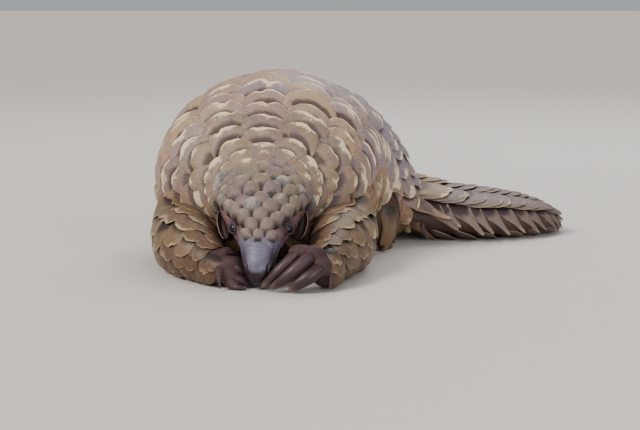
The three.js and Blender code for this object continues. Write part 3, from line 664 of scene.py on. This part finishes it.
    # the bake map: a patch for each scale at its root's place on the form unwrapped by column and row,
    # its underside in a strip along the patch's root end and its walls just outside the patch
    columns, lines = pick["column"] - pick["column"].min(), pick["row"] - pick["row"].min()
    cells = np.array([columns.max() + 1, lines.max() + 2])
    strip = shape["underStrip"]
    patch = columns + 0.5 + 0.45 * b * ones
    topMap = np.stack([patch, lines + 2 * (strip + 0.02 + (0.93 - strip) * a * ones)], -1)
    underMap = np.stack([patch, lines + 2 * strip * 0.9 * a * ones], -1)
    middle = np.stack([columns + 0.5, lines + 1.1], -1)
    wallMap = middle + (topMap - middle) * 1.03
    plateMap = np.stack([topMap, underMap], 1).reshape(len(spots), -1, 2)
    edgeMap = np.stack([topMap, wallMap], 1).reshape(len(spots), -1, 2)
    places = np.concatenate([plateMap[:, plates].reshape(-1, 2), edgeMap[:, walls].reshape(-1, 2)]) / cells
    faces = [(plates[None] + each).reshape(-1, 4), (walls[None] + each).reshape(-1, 4)]
    piece = addPiece(name, points.reshape(-1, 3), faces, values, places)
    piece.data.set_sharp_from_angle(angle=shape["crease"] * degree)
    return piece


def within(spots, low, high):
    return [spot for spot in spots if low <= spot["s"] < high]


# The trunk's coat in joined pieces: the stations it lies between, how many points a scale has across,
# and how far scales are crowned, how flat they lie and how humped they are.
trunkPieces = {
    "scalesHead": {"from": None, "to": "crown", "across": 17, "crown": 0.2, "stiff": 0.3, "hump": 0.14},
    "scalesNape": {"from": "crown", "to": "neck", "across": 25, "crown": 0.14, "stiff": 0.2, "hump": 0.07},
    "scalesWithers": {"from": "neck", "to": "back", "across": 35, "crown": 0.12, "stiff": 0.15, "hump": 0.03},
    "scalesBack": {"from": "back", "to": "hips", "across": 33, "crown": 0.1, "stiff": 0.15, "hump": 0},
    "scalesHips": {"from": "hips", "to": "tailRoot", "across": 31, "crown": 0.1, "stiff": 0.15, "hump": 0},
    "scalesTail": {"from": "tailRoot", "to": None, "across": 25, "crown": 0.08, "stiff": 0.3, "hump": 0},
}
firstRow = {"later": 4, "shorter": 0.76, "sink": 2.4}     # the row beside the bare snout

trunkSpots = coatSpots(trunk, trunkCoat, trunk.place("snoutBase") - coatEnds["snout"],
                       trunk.length - coatEnds["tailTip"])
for spot in trunkSpots:
    if spot["row"] == 0:
        spot["s"] += firstRow["later"]
        spot["long"] *= firstRow["shorter"]
        spot["sink"] = firstRow["sink"]
coats = []
for name, made in trunkPieces.items():
    low = trunk.place(made["from"]) if made["from"] else 0
    high = trunk.place(made["to"]) if made["to"] else trunk.length
    coats.append(scaleCoat(name, trunk, within(trunkSpots, low, high), made["across"], made["crown"],
                           made["stiff"], made["hump"]))
underSpots = coatSpots(trunk, tailUnderCoat, trunk.place("tailBase") - 14, trunk.place("tailRound"), math.pi)
coats.append(scaleCoat("scalesUnderTail", trunk, underSpots, 17))
for name, form in legs.items():
    side = name.split("_")[1]
    if name.startswith("fore"):
        spots = chainSpots(form, -mirror[side])
        coats.append(scaleCoat("scalesForeleg" + side.title(), form, spots, 25, 0.1, 0.05))
    else:
        spots = coatSpots(form, hindlegCoat, form.place("hip") + coatEnds["hip"],
                          form.place("shank") + coatEnds["shank"])
        coats.append(scaleCoat("scalesHindleg" + side.title(), form, spots, 21, 0.1, 0.2))
for coat in coats:
    print(coat.name, len(coat.data.polygons) * 2, "triangles")


# A coat's finish: horn with lengthwise lines, brown low down, bluish on the back and to its left, cream
# where the middle of its free edge is worn, painted shade under the scale before it and on each scale's
# underside, and a painted highlight along each scale's rim.
# In each look, root is the dark of the lengthwise streaks and also the painted shade under the scale before
# it and on each scale's underside; shade is the span of the shown face over which that painted shade fades
# out; the rim line's strength sets a painted highlight along each scale's rim.
hornLooks = {
    "head": {"face": colour(114, 97, 98), "warm": colour(126, 112, 92), "cold": colour(92, 104, 108),
             "low": colour(114, 94, 88), "root": colour(30, 16, 18), "worn": colour(170, 154, 140),
             "wornFrom": 0.8, "narrow": 0.9, "streaks": 8, "line": 0.1, "shade": (0.3, 0.6)},
    "nape": {"face": colour(130, 106, 100), "warm": colour(142, 120, 94), "cold": colour(112, 102, 108),
             "low": colour(124, 94, 66), "root": colour(74, 54, 49), "worn": colour(230, 208, 168),
             "wornFrom": 0.66, "narrow": 2.2, "streaks": 14, "line": 0.12, "shade": (0.16, 0.4)},
    "body": {"face": colour(148, 120, 114), "warm": colour(168, 140, 108), "cold": colour(128, 119, 138),
             "low": colour(116, 82, 50), "root": colour(80, 56, 50), "worn": colour(238, 216, 176),
             "wornFrom": 0.7, "narrow": 2.6, "streaks": 16, "line": 0.16, "shade": (0.15, 0.36)},
    "tail": {"face": colour(116, 99, 102), "warm": colour(128, 108, 92), "cold": colour(110, 104, 120),
             "low": colour(108, 90, 84), "root": colour(44, 30, 32), "worn": colour(206, 188, 160),
             "wornFrom": 0.85, "narrow": 1.6, "streaks": 14, "line": 0.5, "shade": (0.15, 0.4)},
    "leg": {"face": colour(130, 106, 84), "warm": colour(140, 117, 84), "cold": colour(110, 94, 88),
            "low": colour(86, 60, 42), "root": colour(30, 17, 13), "worn": colour(204, 178, 136),
            "wornFrom": 0.82, "narrow": 1.6, "streaks": 12, "line": 0.5, "shade": (0.12, 0.5)},
}


def hornFinish(name, look):
    horn = Finish(name, Specular_IOR_Level=0.45)
    keys = ("along", "across", "tone", "tint", "edge", "face", "wornEdge", "low", "shown", "chill")
    stored = [horn.attribute(key) for key in keys]
    along, across, tone, tint, edge, face, wornEdge, low, shown, chill = stored
    lines = horn.noise(horn.vector(across * look["streaks"], along * 1.6, tone * 30), 1.0, 4.0, 0.6)
    blotch = horn.noise(horn.vector(across * 3.2, along * 5, tint * 30), 1.0, 4.0, 0.6)
    rings = horn.noise(horn.vector(across * 1.2, along * 26, tone * 17), 1.0, 2.0, 0.5)
    paint = horn.mix(look["face"], look["warm"], horn.fade(blotch + tint * 0.16 + shown * 0.1, 0.42, 0.66))
    paint = horn.mix(paint, look["cold"], horn.fade(chill + tone * 0.3, 0.1, 0.9) * 0.7)
    paint = horn.mix(paint, look["cold"], horn.fade(tone + (blotch - 0.5) * 1.6, 0.1, 1.0) * 0.35)
    paint = horn.mix(paint, look["low"], low)
    paint = horn.mix(paint, look["root"], horn.fade(lines, 0.52, 0.74) * 0.4)
    paint = horn.mix(paint, look["worn"], horn.fade(lines, 0.44, 0.28) * 0.2)
    keel = shown - across * across * (tint * 0.6 + look["narrow"])
    keel = keel + (lines - 0.5) * 0.5 + (blotch - 0.5) * 1.1
    worn = horn.fade(keel + wornEdge * 1.2 + tone * 0.2, look["wornFrom"], look["wornFrom"] + 0.24)
    worn = worn * (1 - low * 0.8)
    paint = horn.mix(paint, look["worn"], worn * 0.9)
    # painted shade: darker towards the root colour where the scale before it covers this one
    shade = horn.fade(shown + across * across * 0.06 + (blotch - 0.5) * 0.3, *look["shade"])
    paint = horn.mix(look["root"], paint, shade * 0.92 + 0.08)
    # painted highlight: a pale line in the wear's cream along each scale's bevelled rim, weaker low down
    paint = horn.mix(paint, look["worn"], edge * (look["line"] - low * 0.2))
    # painted shade: each scale's underside darkened towards the root colour
    paint = horn.mix(look["root"], paint, face * 0.85 + 0.15)
    relief = horn.bump(lines + rings * 0.35, 0.45, 0.001)
    return horn.finish(Base_Color=paint, Normal=relief, Roughness=0.4 + worn * 0.22 + blotch * 0.14)


horn = {name: hornFinish(name + "Horn", look) for name, look in hornLooks.items()}
kinds = {"Head": "head", "Nape": "nape", "Tail": "tail", "leg": "leg"}
for coat in coats:
    kind = next((kinds[part] for part in kinds if part in coat.name), "body")
    coat.data.materials.append(horn[kind])
    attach(coat, "root")
print("coat finished")


# The skin under the coat, and bare on the face, the feet and the belly.
skinShape = {"under": 3.2, "headRing": 0.6, "eyeRing": 0.38, "bodyRing": 5, "sides": 340, "floor": 0.0,
             "legRings": 40, "legSides": 64, "fingerRings": 14, "fingerSides": 24, "flesh": 2.2,
             "voxel": 0.0015, "smoothing": 0.6, "smoothTimes": 8}
faceShape = {"wrinkle": 0.3, "jaw": 0.5, "brow": 0.9, "browStep": 0.7,
             "snoutEdge": 0.35, "snoutEdgeTurn": 1.05,
             "nostrilLong": 3.4, "nostrilHigh": 1.5, "nostrilDeep": 2.0, "nostrilRim": 0.35,
             "mouthTurn": 115, "mouthDeep": 1.5, "lip": 0.75}


def nostrilReach(s, turn, sign):
    # how far from a nostril's curl, in its own radii
    noseS, noseTurn = trunk.place(nostril["past"]) + nostril["by"], sign * nostril["turn"] * degree
    along, around = stepLengths(trunk, noseS, noseTurn)
    dx = (s - noseS) * along
    dy = (turn - noseTurn) * around * sign
    return np.hypot(dx / faceShape["nostrilLong"], (dy - 0.09 * dx**2 + 0.25 * dx) / faceShape["nostrilHigh"])


def faceRelief(s, turn):
    turn = (turn + math.pi) % (2 * math.pi) - math.pi
    at = coatAt(trunk, trunkCoat, np.clip(s, trunk.place("snoutBase"), None))
    scaled = ease(s, trunk.place("snoutBase") - 4, trunk.place("snoutBase") + 6)
    covered = scaled * (1 - ease(np.abs(turn) / degree, at["edge"] - 6, at["edge"] + 14))
    deep = skinShape["under"] * (0.4 + 0.6 * ease(s, trunk.place("crown"), trunk.place("withers")))
    lift = -deep * covered
    bare = 1 - ease(s, trunk.place("nape"), trunk.place("withers"))

    # folds across the snout and round the jaw, and a step down where the scales begin
    snoutFold = np.sin(s * 1.75 + 1.2 * np.sin(2.3 * turn) + 0.8 * np.sin(5.1 * turn + 1))
    snoutFold = snoutFold * ease(s, 16, 28) * (1 - covered) * bare
    lift = lift + faceShape["wrinkle"] * snoutFold * (0.5 + 0.5 * np.sin(0.9 * s + 3 * turn))
    jaw = np.sin(0.8 * s - 4.5 * np.abs(turn)) * ease(np.abs(turn), 1.2, 1.7) * ease(s, 30, 45) * bare
    lift = lift + faceShape["jaw"] * jaw
    brow = trunk.place("snoutBase") - 5 + 2.5 * np.cos(3.2 * turn)
    raised = faceShape["brow"] * np.exp(-(((s - brow) / 1.8) ** 2))
    lowered = faceShape["browStep"] * np.exp(-(((s - brow + 3.2) / 1.2) ** 2))
    lift = lift + (raised - lowered) * np.exp(-((turn / 0.95) ** 4))

    # the edge between the snout's top and its sides
    side = np.exp(-(((np.abs(turn) - faceShape["snoutEdgeTurn"]) / 0.1) ** 2))
    side = side * ease(s, 10, 16) * (1 - ease(s, 34, 42))
    lift = lift - faceShape["snoutEdge"] * side

    for sign in mirror.values():
        # the nostril, a comma with its rim
        reach = nostrilReach(s, turn, sign)
        lift = lift - faceShape["nostrilDeep"] * np.exp(-(reach**2) * 1.1)
        lift = lift + faceShape["nostrilRim"] * np.exp(-(((reach - 1.75) / 0.5) ** 2))

        # the mouth's line between its lips
        lipTurn = sign * (faceShape["mouthTurn"] - 6 * ease(s, 2, 20)) * degree
        off = (turn - lipTurn) * stepLengths(trunk, 14, sign * 110 * degree)[1]
        run = ease(s, 1, 5) * (1 - ease(s, 24, 31))
        lift = lift + run * (faceShape["lip"] * np.exp(-((off / 2.2) ** 2))
                             - faceShape["mouthDeep"] * np.exp(-((off / 0.62) ** 2)))
    return lift


lids = {"faces": (0.62, -0.76, 0.2), "wide": 1.05, "tall": 0.68, "over": 0.5, "rim": 0.4, "crease": 0.45,
        "fold": 0.5, "sunk": 1.8, "reach": 13}
earShape = {"at": (37.5, 68, 53), "deep": 6, "hollow": (6, 7, 10)}


def sculptFace(points):
    # lids round each eye and the hollow in front of each ear
    points = points.copy()
    for side, sign in mirror.items():
        ball = eyeSpots[side]
        look = unit(np.array([sign * lids["faces"][0], *lids["faces"][1:]]))
        axis = trunk.axes(np.array(trunk.place(eye["past"])))[0]
        slit = unit(axis - look * (axis @ look))
        rise = np.cross(slit, look) * sign
        away = points - ball
        reach = np.linalg.norm(away, axis=1)
        way = away / reach[:, None]
        ahead = way @ look
        a = np.arctan2(way @ slit, ahead) / lids["wide"]
        b = np.arctan2(way @ rise, ahead) / (lids["tall"] * np.clip(1 - 0.35 * a**2, 0.2, 1))
        opening = np.hypot(a, b)
        target = eye["radius"] + lids["over"] + lids["rim"] * np.exp(-(((opening - 1.2) / 0.2) ** 2))
        target = target - lids["crease"] * np.exp(-(((opening - 1.8) / 0.22) ** 2))
        target = target + lids["fold"] * np.exp(-(((opening - 2.25) / 0.2) ** 2))
        socket = eye["radius"] - lids["sunk"] + (lids["sunk"] + lids["over"]) * ease(opening, 0.8, 1.02)
        target = np.where(opening < 1, socket, target)
        share = (1 - ease(opening, 1.9, 3.4)) * (ahead > 0.02) * (reach < lids["reach"])
        points = points + way * ((target - reach) * share)[:, None]

        hollow = np.array(earShape["at"]) * [sign, 1, 1] - [sign * 4.5, 0, 0]
        off = (points - hollow) / np.array(earShape["hollow"])
        deep = np.exp(-(np.linalg.norm(off, axis=1) ** 2) * 1.2)
        points = points + np.array([-sign * 0.5, 0.85, 0]) * (earShape["deep"] * deep)[:, None]
    return points


crownPlace = trunk.place("crown")
stopList = np.concatenate([
    np.arange(0, eyePlace - 8, skinShape["headRing"]),
    np.arange(eyePlace - 8, eyePlace + 8, skinShape["eyeRing"]),
    np.arange(eyePlace + 8, crownPlace, skinShape["headRing"]),
    np.arange(crownPlace, trunk.length, skinShape["bodyRing"]), [trunk.length]])
trunkPoints, trunkFaces = tube(trunk, stopList, skinShape["sides"], relief=faceRelief)
trunkSkin = addPiece("trunkSkin", sculptFace(trunkPoints), trunkFaces)


def digit(claw, facing, knuckle, size):
    # the flesh that a claw grows from, out of the knuckles
    root, tip = np.array(claw["root"], float), np.array(claw["tip"], float)
    run = unit(tip - root)
    wide, deep = claw["wide"] + size, claw["deep"] + size
    places = {"rear": (knuckle * 0.75 + root * 0.25, 0.9), "half": (knuckle * 0.3 + root * 0.7, 1.0),
              "front": (root + run * 4, 1.0), "end": (root + run * 9, 0.86)}
    stations = {name: {"at": at, "wide": wide * k, "up": deep * k, "down": deep * k}
                for name, (at, k) in places.items()}
    return Form(stations, facing)


bodies = []
for name, form in legs.items():
    bodies.append(tube(form, np.linspace(0, form.length, skinShape["legRings"]), skinShape["legSides"],
                       -skinShape["under"] * 0.5))
    side = name.split("_")[1]
    if name.startswith("fore"):
        knuckle = np.array(forelegStations[side]["knuckles"]["at"], float)
        for claw in foreclaws[side]:
            finger = digit(claw, (0, -1, 0), knuckle, skinShape["flesh"])
            fingerStops = np.linspace(0, finger.length, skinShape["fingerRings"])
            bodies.append(tube(finger, fingerStops, skinShape["fingerSides"]))
allPoints, allFaces, start = [], [], 0
for points, faces in bodies:
    points[:, 2] = np.maximum(points[:, 2], skinShape["floor"])
    allPoints.append(points)
    allFaces += [part + start for part in faces]
    start += len(points)
limbs = addPiece("limbs", np.concatenate(allPoints), allFaces)
settle(limbs, ("REMESH", {"mode": "VOXEL", "voxel_size": skinShape["voxel"], "use_smooth_shade": True}),
       ("SMOOTH", {"factor": skinShape["smoothing"], "iterations": skinShape["smoothTimes"]}))


def merge(name, *pieces):
    # pieces joined into one mesh, in millimetres again
    points, faces, start = [], [], 0
    for piece in pieces:
        mesh = piece.data
        co = np.zeros(len(mesh.vertices) * 3, np.float32)
        mesh.vertices.foreach_get("co", co)
        corners = np.zeros(len(mesh.loops), np.int32)
        mesh.loops.foreach_get("vertex_index", corners)
        sizes = np.zeros(len(mesh.polygons), np.int32)
        mesh.polygons.foreach_get("loop_total", sizes)
        starts = np.zeros(len(mesh.polygons), np.int32)
        mesh.polygons.foreach_get("loop_start", starts)
        for size in (3, 4):
            chosen = starts[sizes == size]
            if len(chosen):
                faces.append(corners[chosen[:, None] + np.arange(size)] + start)
        points.append(co.reshape(-1, 3).astype(float) * metre + shift)
        start += len(mesh.vertices)
        bpy.data.objects.remove(piece)
    return addPiece(name, np.concatenate(points), faces)


skin = merge("skin", trunkSkin, limbs)
print("skin", len(skin.data.polygons) * 2, "triangles")

skinLook = {"snout": colour(103, 98, 117), "nose": colour(24, 9, 12), "cheek": colour(112, 82, 80),
            "flank": colour(70, 54, 66), "lid": colour(52, 40, 54),
            "lip": colour(168, 146, 144), "foot": colour(64, 42, 42), "belly": colour(72, 50, 42),
            "fold": colour(50, 34, 34), "hollow": colour(26, 14, 12)}


def skinFinish():
    hide = Finish("hide", Specular_IOR_Level=0.4)
    place = hide.node("NewGeometry")
    grain = hide.noise(place, 900.0, 4.0, 0.6)
    patch = hide.noise(place, 60.0, 3.0, 0.5)
    muzzle = hide.attribute("muzzle")
    # the skin's plain base colour is a dark brown, made darker as painted shade for where it shows under the
    # chin and between the forelegs
    paint = hide.mix(skinLook["belly"], skinLook["cheek"], hide.attribute("cheek"))
    paint = hide.mix(paint, skinLook["foot"], hide.attribute("foot"))
    paint = hide.mix(paint, skinLook["snout"], muzzle)
    # painted shade: the snout darker and more purple down its sides, away from its top
    paint = hide.mix(paint, skinLook["flank"], hide.attribute("flank") * 0.8)
    paint = hide.mix(paint, skinLook["lip"], hide.attribute("lip") * 0.8)
    nose = hide.attribute("nose") + (patch - 0.5) * 0.4
    paint = hide.mix(paint, skinLook["nose"], hide.fade(nose, 0.25, 0.85))
    paint = hide.mix(paint, skinLook["fold"], hide.fade(patch, 0.5, 0.72) * 0.4)
    paint = hide.mix(paint, skinLook["fold"], hide.fade(grain, 0.55, 0.75) * 0.3)
    paint = hide.mix(paint, skinLook["lid"], hide.attribute("lid") * 0.85)
    # painted shade: near black in the hollow in front of each ear
    paint = hide.mix(paint, skinLook["hollow"], hide.attribute("hollow"))
    return hide.finish(Base_Color=paint, Normal=hide.bump(grain, 0.35, 0.0007),
                       Roughness=0.62 - muzzle * 0.3 + grain * 0.14)


# Where each tone of the skin shows: on the trunk by place and turn, on the limbs by where a point is.
toneAt = {"offTrunk": 999, "footHigh": 56, "footBack": 66, "lid": 9.5, "hollow": (6, 7, 11)}
co = np.zeros(len(skin.data.vertices) * 3, np.float32)
skin.data.vertices.foreach_get("co", co)
here = co.reshape(-1, 3) * metre + shift
skinSides = skinShape["sides"]
ofTrunk = len(stopList) * skinSides
s = np.full(len(here), float(toneAt["offTrunk"]))
s[:ofTrunk] = np.repeat(stopList, skinSides)
s[ofTrunk:ofTrunk + 2] = [0, toneAt["offTrunk"]]
turn = np.zeros(len(here))
turn[:ofTrunk] = np.tile(np.arange(skinSides) * 2 * math.pi / skinSides, len(stopList))
turn = np.abs((turn + math.pi) % (2 * math.pi) - math.pi) / degree
earSpots = [np.array(earShape["at"]) * [sign, 1, 1] - [sign * 3, -3, 0] for sign in mirror.values()]
nostrils, snoutBase = trunk.place("nostrils"), trunk.place("snoutBase")
snout = ease(s, snoutBase + 6, snoutBase - 2)
values = {
    "nose": np.maximum(ease(s - 0.0014 * turn**2, nostrils + 3, nostrils - 6),
                       np.exp(-nostrilReach(s, turn * degree, 1)**2 * 1.6)),
    "muzzle": snout * ease(turn, 100, 84),
    # painted shade down the snout's sides
    "flank": snout * ease(turn, 18, 62) * ease(turn, 100, 84) * ease(s, snoutBase, trunk.place("snout")),
    "lip": snout * ease(turn, 86, 96) * ease(turn, 116, 100),
    "cheek": ease(s, trunk.place("neck"), crownPlace),
    "foot": ((s == toneAt["offTrunk"]) & (here[:, 2] < toneAt["footHigh"])
             & (here[:, 1] < toneAt["footBack"])).astype(float),
    "lid": sum(np.exp(-((np.linalg.norm(here - spot, axis=1) / toneAt["lid"]) ** 4))
               for spot in eyeSpots.values()),
    # painted shade in the hollow in front of each ear
    "hollow": sum(np.exp(-((np.linalg.norm((here - spot) / toneAt["hollow"], axis=1)) ** 4))
                  for spot in earSpots),
}
for key, value in values.items():
    skin.data.attributes.new(key, "FLOAT", "POINT").data.foreach_set("value", value.astype(np.float32))
skin.data.materials.append(skinFinish())
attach(skin, "root")
fleshNodes = [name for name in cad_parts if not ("claw" in name or "eye" in name or "ear_" in name)]
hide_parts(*fleshNodes)
print("skin finished")

# Claws, curved and finely lined, with paler worn tips.
clawShape = {"rings": 30, "sides": 28, "belly": 0.8,
             "sizes": ((0, 0.86), (0.2, 1.0), (0.5, 0.98), (0.76, 0.8), (0.93, 0.52), (1, 0.2))}
clawLook = {"horn": colour(50, 30, 36), "light": colour(98, 72, 68), "worn": colour(108, 86, 76)}


def clawForm(claw, facing):
    root, tip = np.array(claw["root"], float), np.array(claw["tip"], float)
    run = unit(tip - root)
    side = unit(np.cross(run, np.array(facing, float)))
    out = np.cross(side, run)
    stations = {}
    for k, (u, size) in enumerate(clawShape["sizes"]):
        rise = 4 * u * (1 - u)                 # the bow is the claw's rise half way along it
        at = root + (tip - root) * u + out * claw["bow"] * rise
        stations[k] = {"at": at, "wide": claw["wide"] * size, "up": claw["deep"] * size,
                       "down": clawShape["belly"] * claw["deep"] * size}
    return Form(stations, facing)


def clawFinish():
    keratin = Finish("clawHorn", Specular_IOR_Level=0.4)
    along, across, tone = (keratin.attribute(key) for key in ("along", "across", "tone"))
    lines = keratin.noise(keratin.vector(across * 9, along * 1.5, tone * 30), 1.0, 4.0, 0.6)
    patch = keratin.noise(keratin.vector(across * 2, along * 5, tone * 12), 1.0, 2.0, 0.5)
    paint = keratin.mix(clawLook["horn"], clawLook["light"], keratin.fade(lines, 0.5, 0.68) * 0.7)
    worn = keratin.fade(along + (patch - 0.5) * 0.35, 0.8, 1.04)
    paint = keratin.mix(paint, clawLook["worn"], worn * 0.85)
    relief = keratin.bump(lines, 0.4, 0.0008)
    return keratin.finish(Base_Color=paint, Normal=relief, Roughness=0.42 + worn * 0.2)


clawHorn = clawFinish()


def addClaw(name, node, claw, facing, tone):
    form = clawForm(claw, facing)
    stops = np.linspace(0, form.length, clawShape["rings"])
    points, faces = tube(form, stops, clawShape["sides"])
    along = np.concatenate([np.repeat(stops / form.length, clawShape["sides"]), [0, 1]])
    turns = np.arange(clawShape["sides"]) / clawShape["sides"] * 2
    across = np.concatenate([np.tile(np.abs(turns - 1), len(stops)), [0, 0]])
    piece = addPiece(name, points, faces, {"along": along, "across": across, "tone": 0 * along + tone})
    piece.data.materials.append(clawHorn)
    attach(piece, "root")
    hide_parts(node)


for side in mirror:
    for k, claw in enumerate(foreclaws[side]):
        addClaw(f"foreClaw{side.title()}{k + 1}", f"foreclaw_{side}_{k + 1}", claw, (0, -1, 0), 0.1 * k)
    sole = hindlegStations[side]["sole"]
    for k, turn in enumerate(hindclaw["turns"]):
        c, s = math.cos(turn * degree), math.sin(turn * degree)
        forward, sideways = toesFacing[:2]
        way = unit(np.array([forward * c - sideways * s, forward * s + sideways * c, 0]))
        middle = np.array([sole["at"][0], sole["at"][1], hindclaw["high"]])
        begin = sole["wide"] - hindclaw["root"]
        tip = middle + way * (begin + hindclaw["long"])
        claw = {**hindclaw, "root": middle + way * begin, "tip": (*tip[:2], hindclaw["tip"])}
        addClaw(f"hindClaw{side.title()}{k + 1}", f"hindclaw_{side}_{k + 1}", claw, (0, 0, 1), 0.07 * k)
print("claws")

# Eyes: a dark glossy ball in each socket.
eyeLook = {"dark": colour(15, 13, 24), "roughness": 0.17, "gloss": 0.35}
eyeMesh = {"rings": 20, "sides": 32, "pole": 0.04}
eyeFinish = Finish("eyeGloss", Base_Color=eyeLook["dark"], Roughness=eyeLook["roughness"],
                   Specular_IOR_Level=eyeLook["gloss"])
tilts = np.linspace(eyeMesh["pole"], math.pi - eyeMesh["pole"], eyeMesh["rings"])[:, None]
spins = np.arange(eyeMesh["sides"]) * 2 * math.pi / eyeMesh["sides"]
ballRings = np.stack([np.sin(tilts) * np.cos(spins), np.sin(tilts) * np.sin(spins),
                      np.cos(tilts) + 0 * spins], -1)
ballPoints = np.concatenate([ballRings.reshape(-1, 3), [[0, 0, 1], [0, 0, -1]]])
ballQuads, ballCaps = ringFaces(eyeMesh["rings"], eyeMesh["sides"])
ballFaces = [np.roll(ballQuads[:, ::-1], 1, axis=1), ballCaps[:, [0, 2, 1]]]
for side, middle in eyeSpots.items():
    piece = addPiece("eye" + side.title(), middle + eye["radius"] * ballPoints, ballFaces)
    piece.data.materials.append(eyeFinish.material)
    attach(piece, "root")
    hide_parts("eye_" + side)

# Ears: a thin standing fold behind each hollow, with a pale rim, dark inside: partly darker skin, partly
# painted shade.
pinna = {"tall": 12.5, "root": 7.5, "bulge": 3.5, "back": 5.5, "thick": 1.7, "lean": -7, "slant": 4,
         "outward": 2.2, "curl": 0.6, "curlBack": 1.0, "rows": 41, "across": 17}
earLook = {"inside": colour(44, 26, 24), "outside": colour(104, 80, 76), "rim": colour(196, 170, 158)}


def earFinish():
    fold = Finish("earSkin", Specular_IOR_Level=0.35)
    rim, inner = fold.attribute("rim"), fold.attribute("inner")
    grain = fold.noise(fold.node("NewGeometry"), 700.0, 3.0, 0.6)
    # the inner side dark: partly darker skin, partly painted shade
    paint = fold.mix(earLook["outside"], earLook["inside"], inner)
    paint = fold.mix(paint, earLook["rim"], fold.fade(rim + (grain - 0.5) * 0.1, 0.86, 0.96))
    return fold.finish(Base_Color=paint, Normal=fold.bump(grain, 0.3, 0.0006), Roughness=0.5 + grain * 0.15)


earMaterial = earFinish()
for side, sign in mirror.items():
    p, q = np.meshgrid(np.linspace(-1, 1, pinna["rows"]), np.linspace(0, 1, pinna["across"]), indexing="ij")
    bow = np.sqrt(np.clip(1 - p**2, 0, 1))
    x, y, z = earShape["at"]
    x = x + pinna["root"] * (q - 0.62) * (0.35 + 0.65 * bow) + pinna["bulge"] * bow * q + p * pinna["outward"]
    y = y + pinna["back"] * np.sin(math.pi * q) * bow - pinna["lean"] * q * bow * 0.4 + pinna["slant"] * p
    z = z + pinna["tall"] * p
    curl = ease(q, 0.8, 1) * bow
    front = np.stack([x - curl * pinna["curl"], y - curl * pinna["curlBack"], z], -1)
    thick = pinna["thick"] * (1 - 0.45 * q) * (0.25 + 0.75 * bow)
    behind = front + np.stack([0.25 * thick, thick, 0 * thick], -1)
    front[..., 0] *= sign
    behind[..., 0] *= sign
    quads = np.concatenate(plateFaces(*p.shape))
    if sign < 0:
        quads = quads[:, ::-1]                 # the mirrored ear's faces still point outwards
    points = np.concatenate([front.reshape(-1, 3), behind.reshape(-1, 3)])
    edge = np.concatenate([q.ravel(), q.ravel() * 0.96])
    inner = np.concatenate([np.ones(q.size), np.zeros(q.size)])
    piece = addPiece("ear" + side.title(), points, [quads], {"rim": edge, "inner": inner})
    settle(piece, ("SUBSURF", {"levels": 1}))
    piece.data.materials.append(earMaterial)
    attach(piece, "root")
    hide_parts("ear_" + side)
print("eyes and ears")
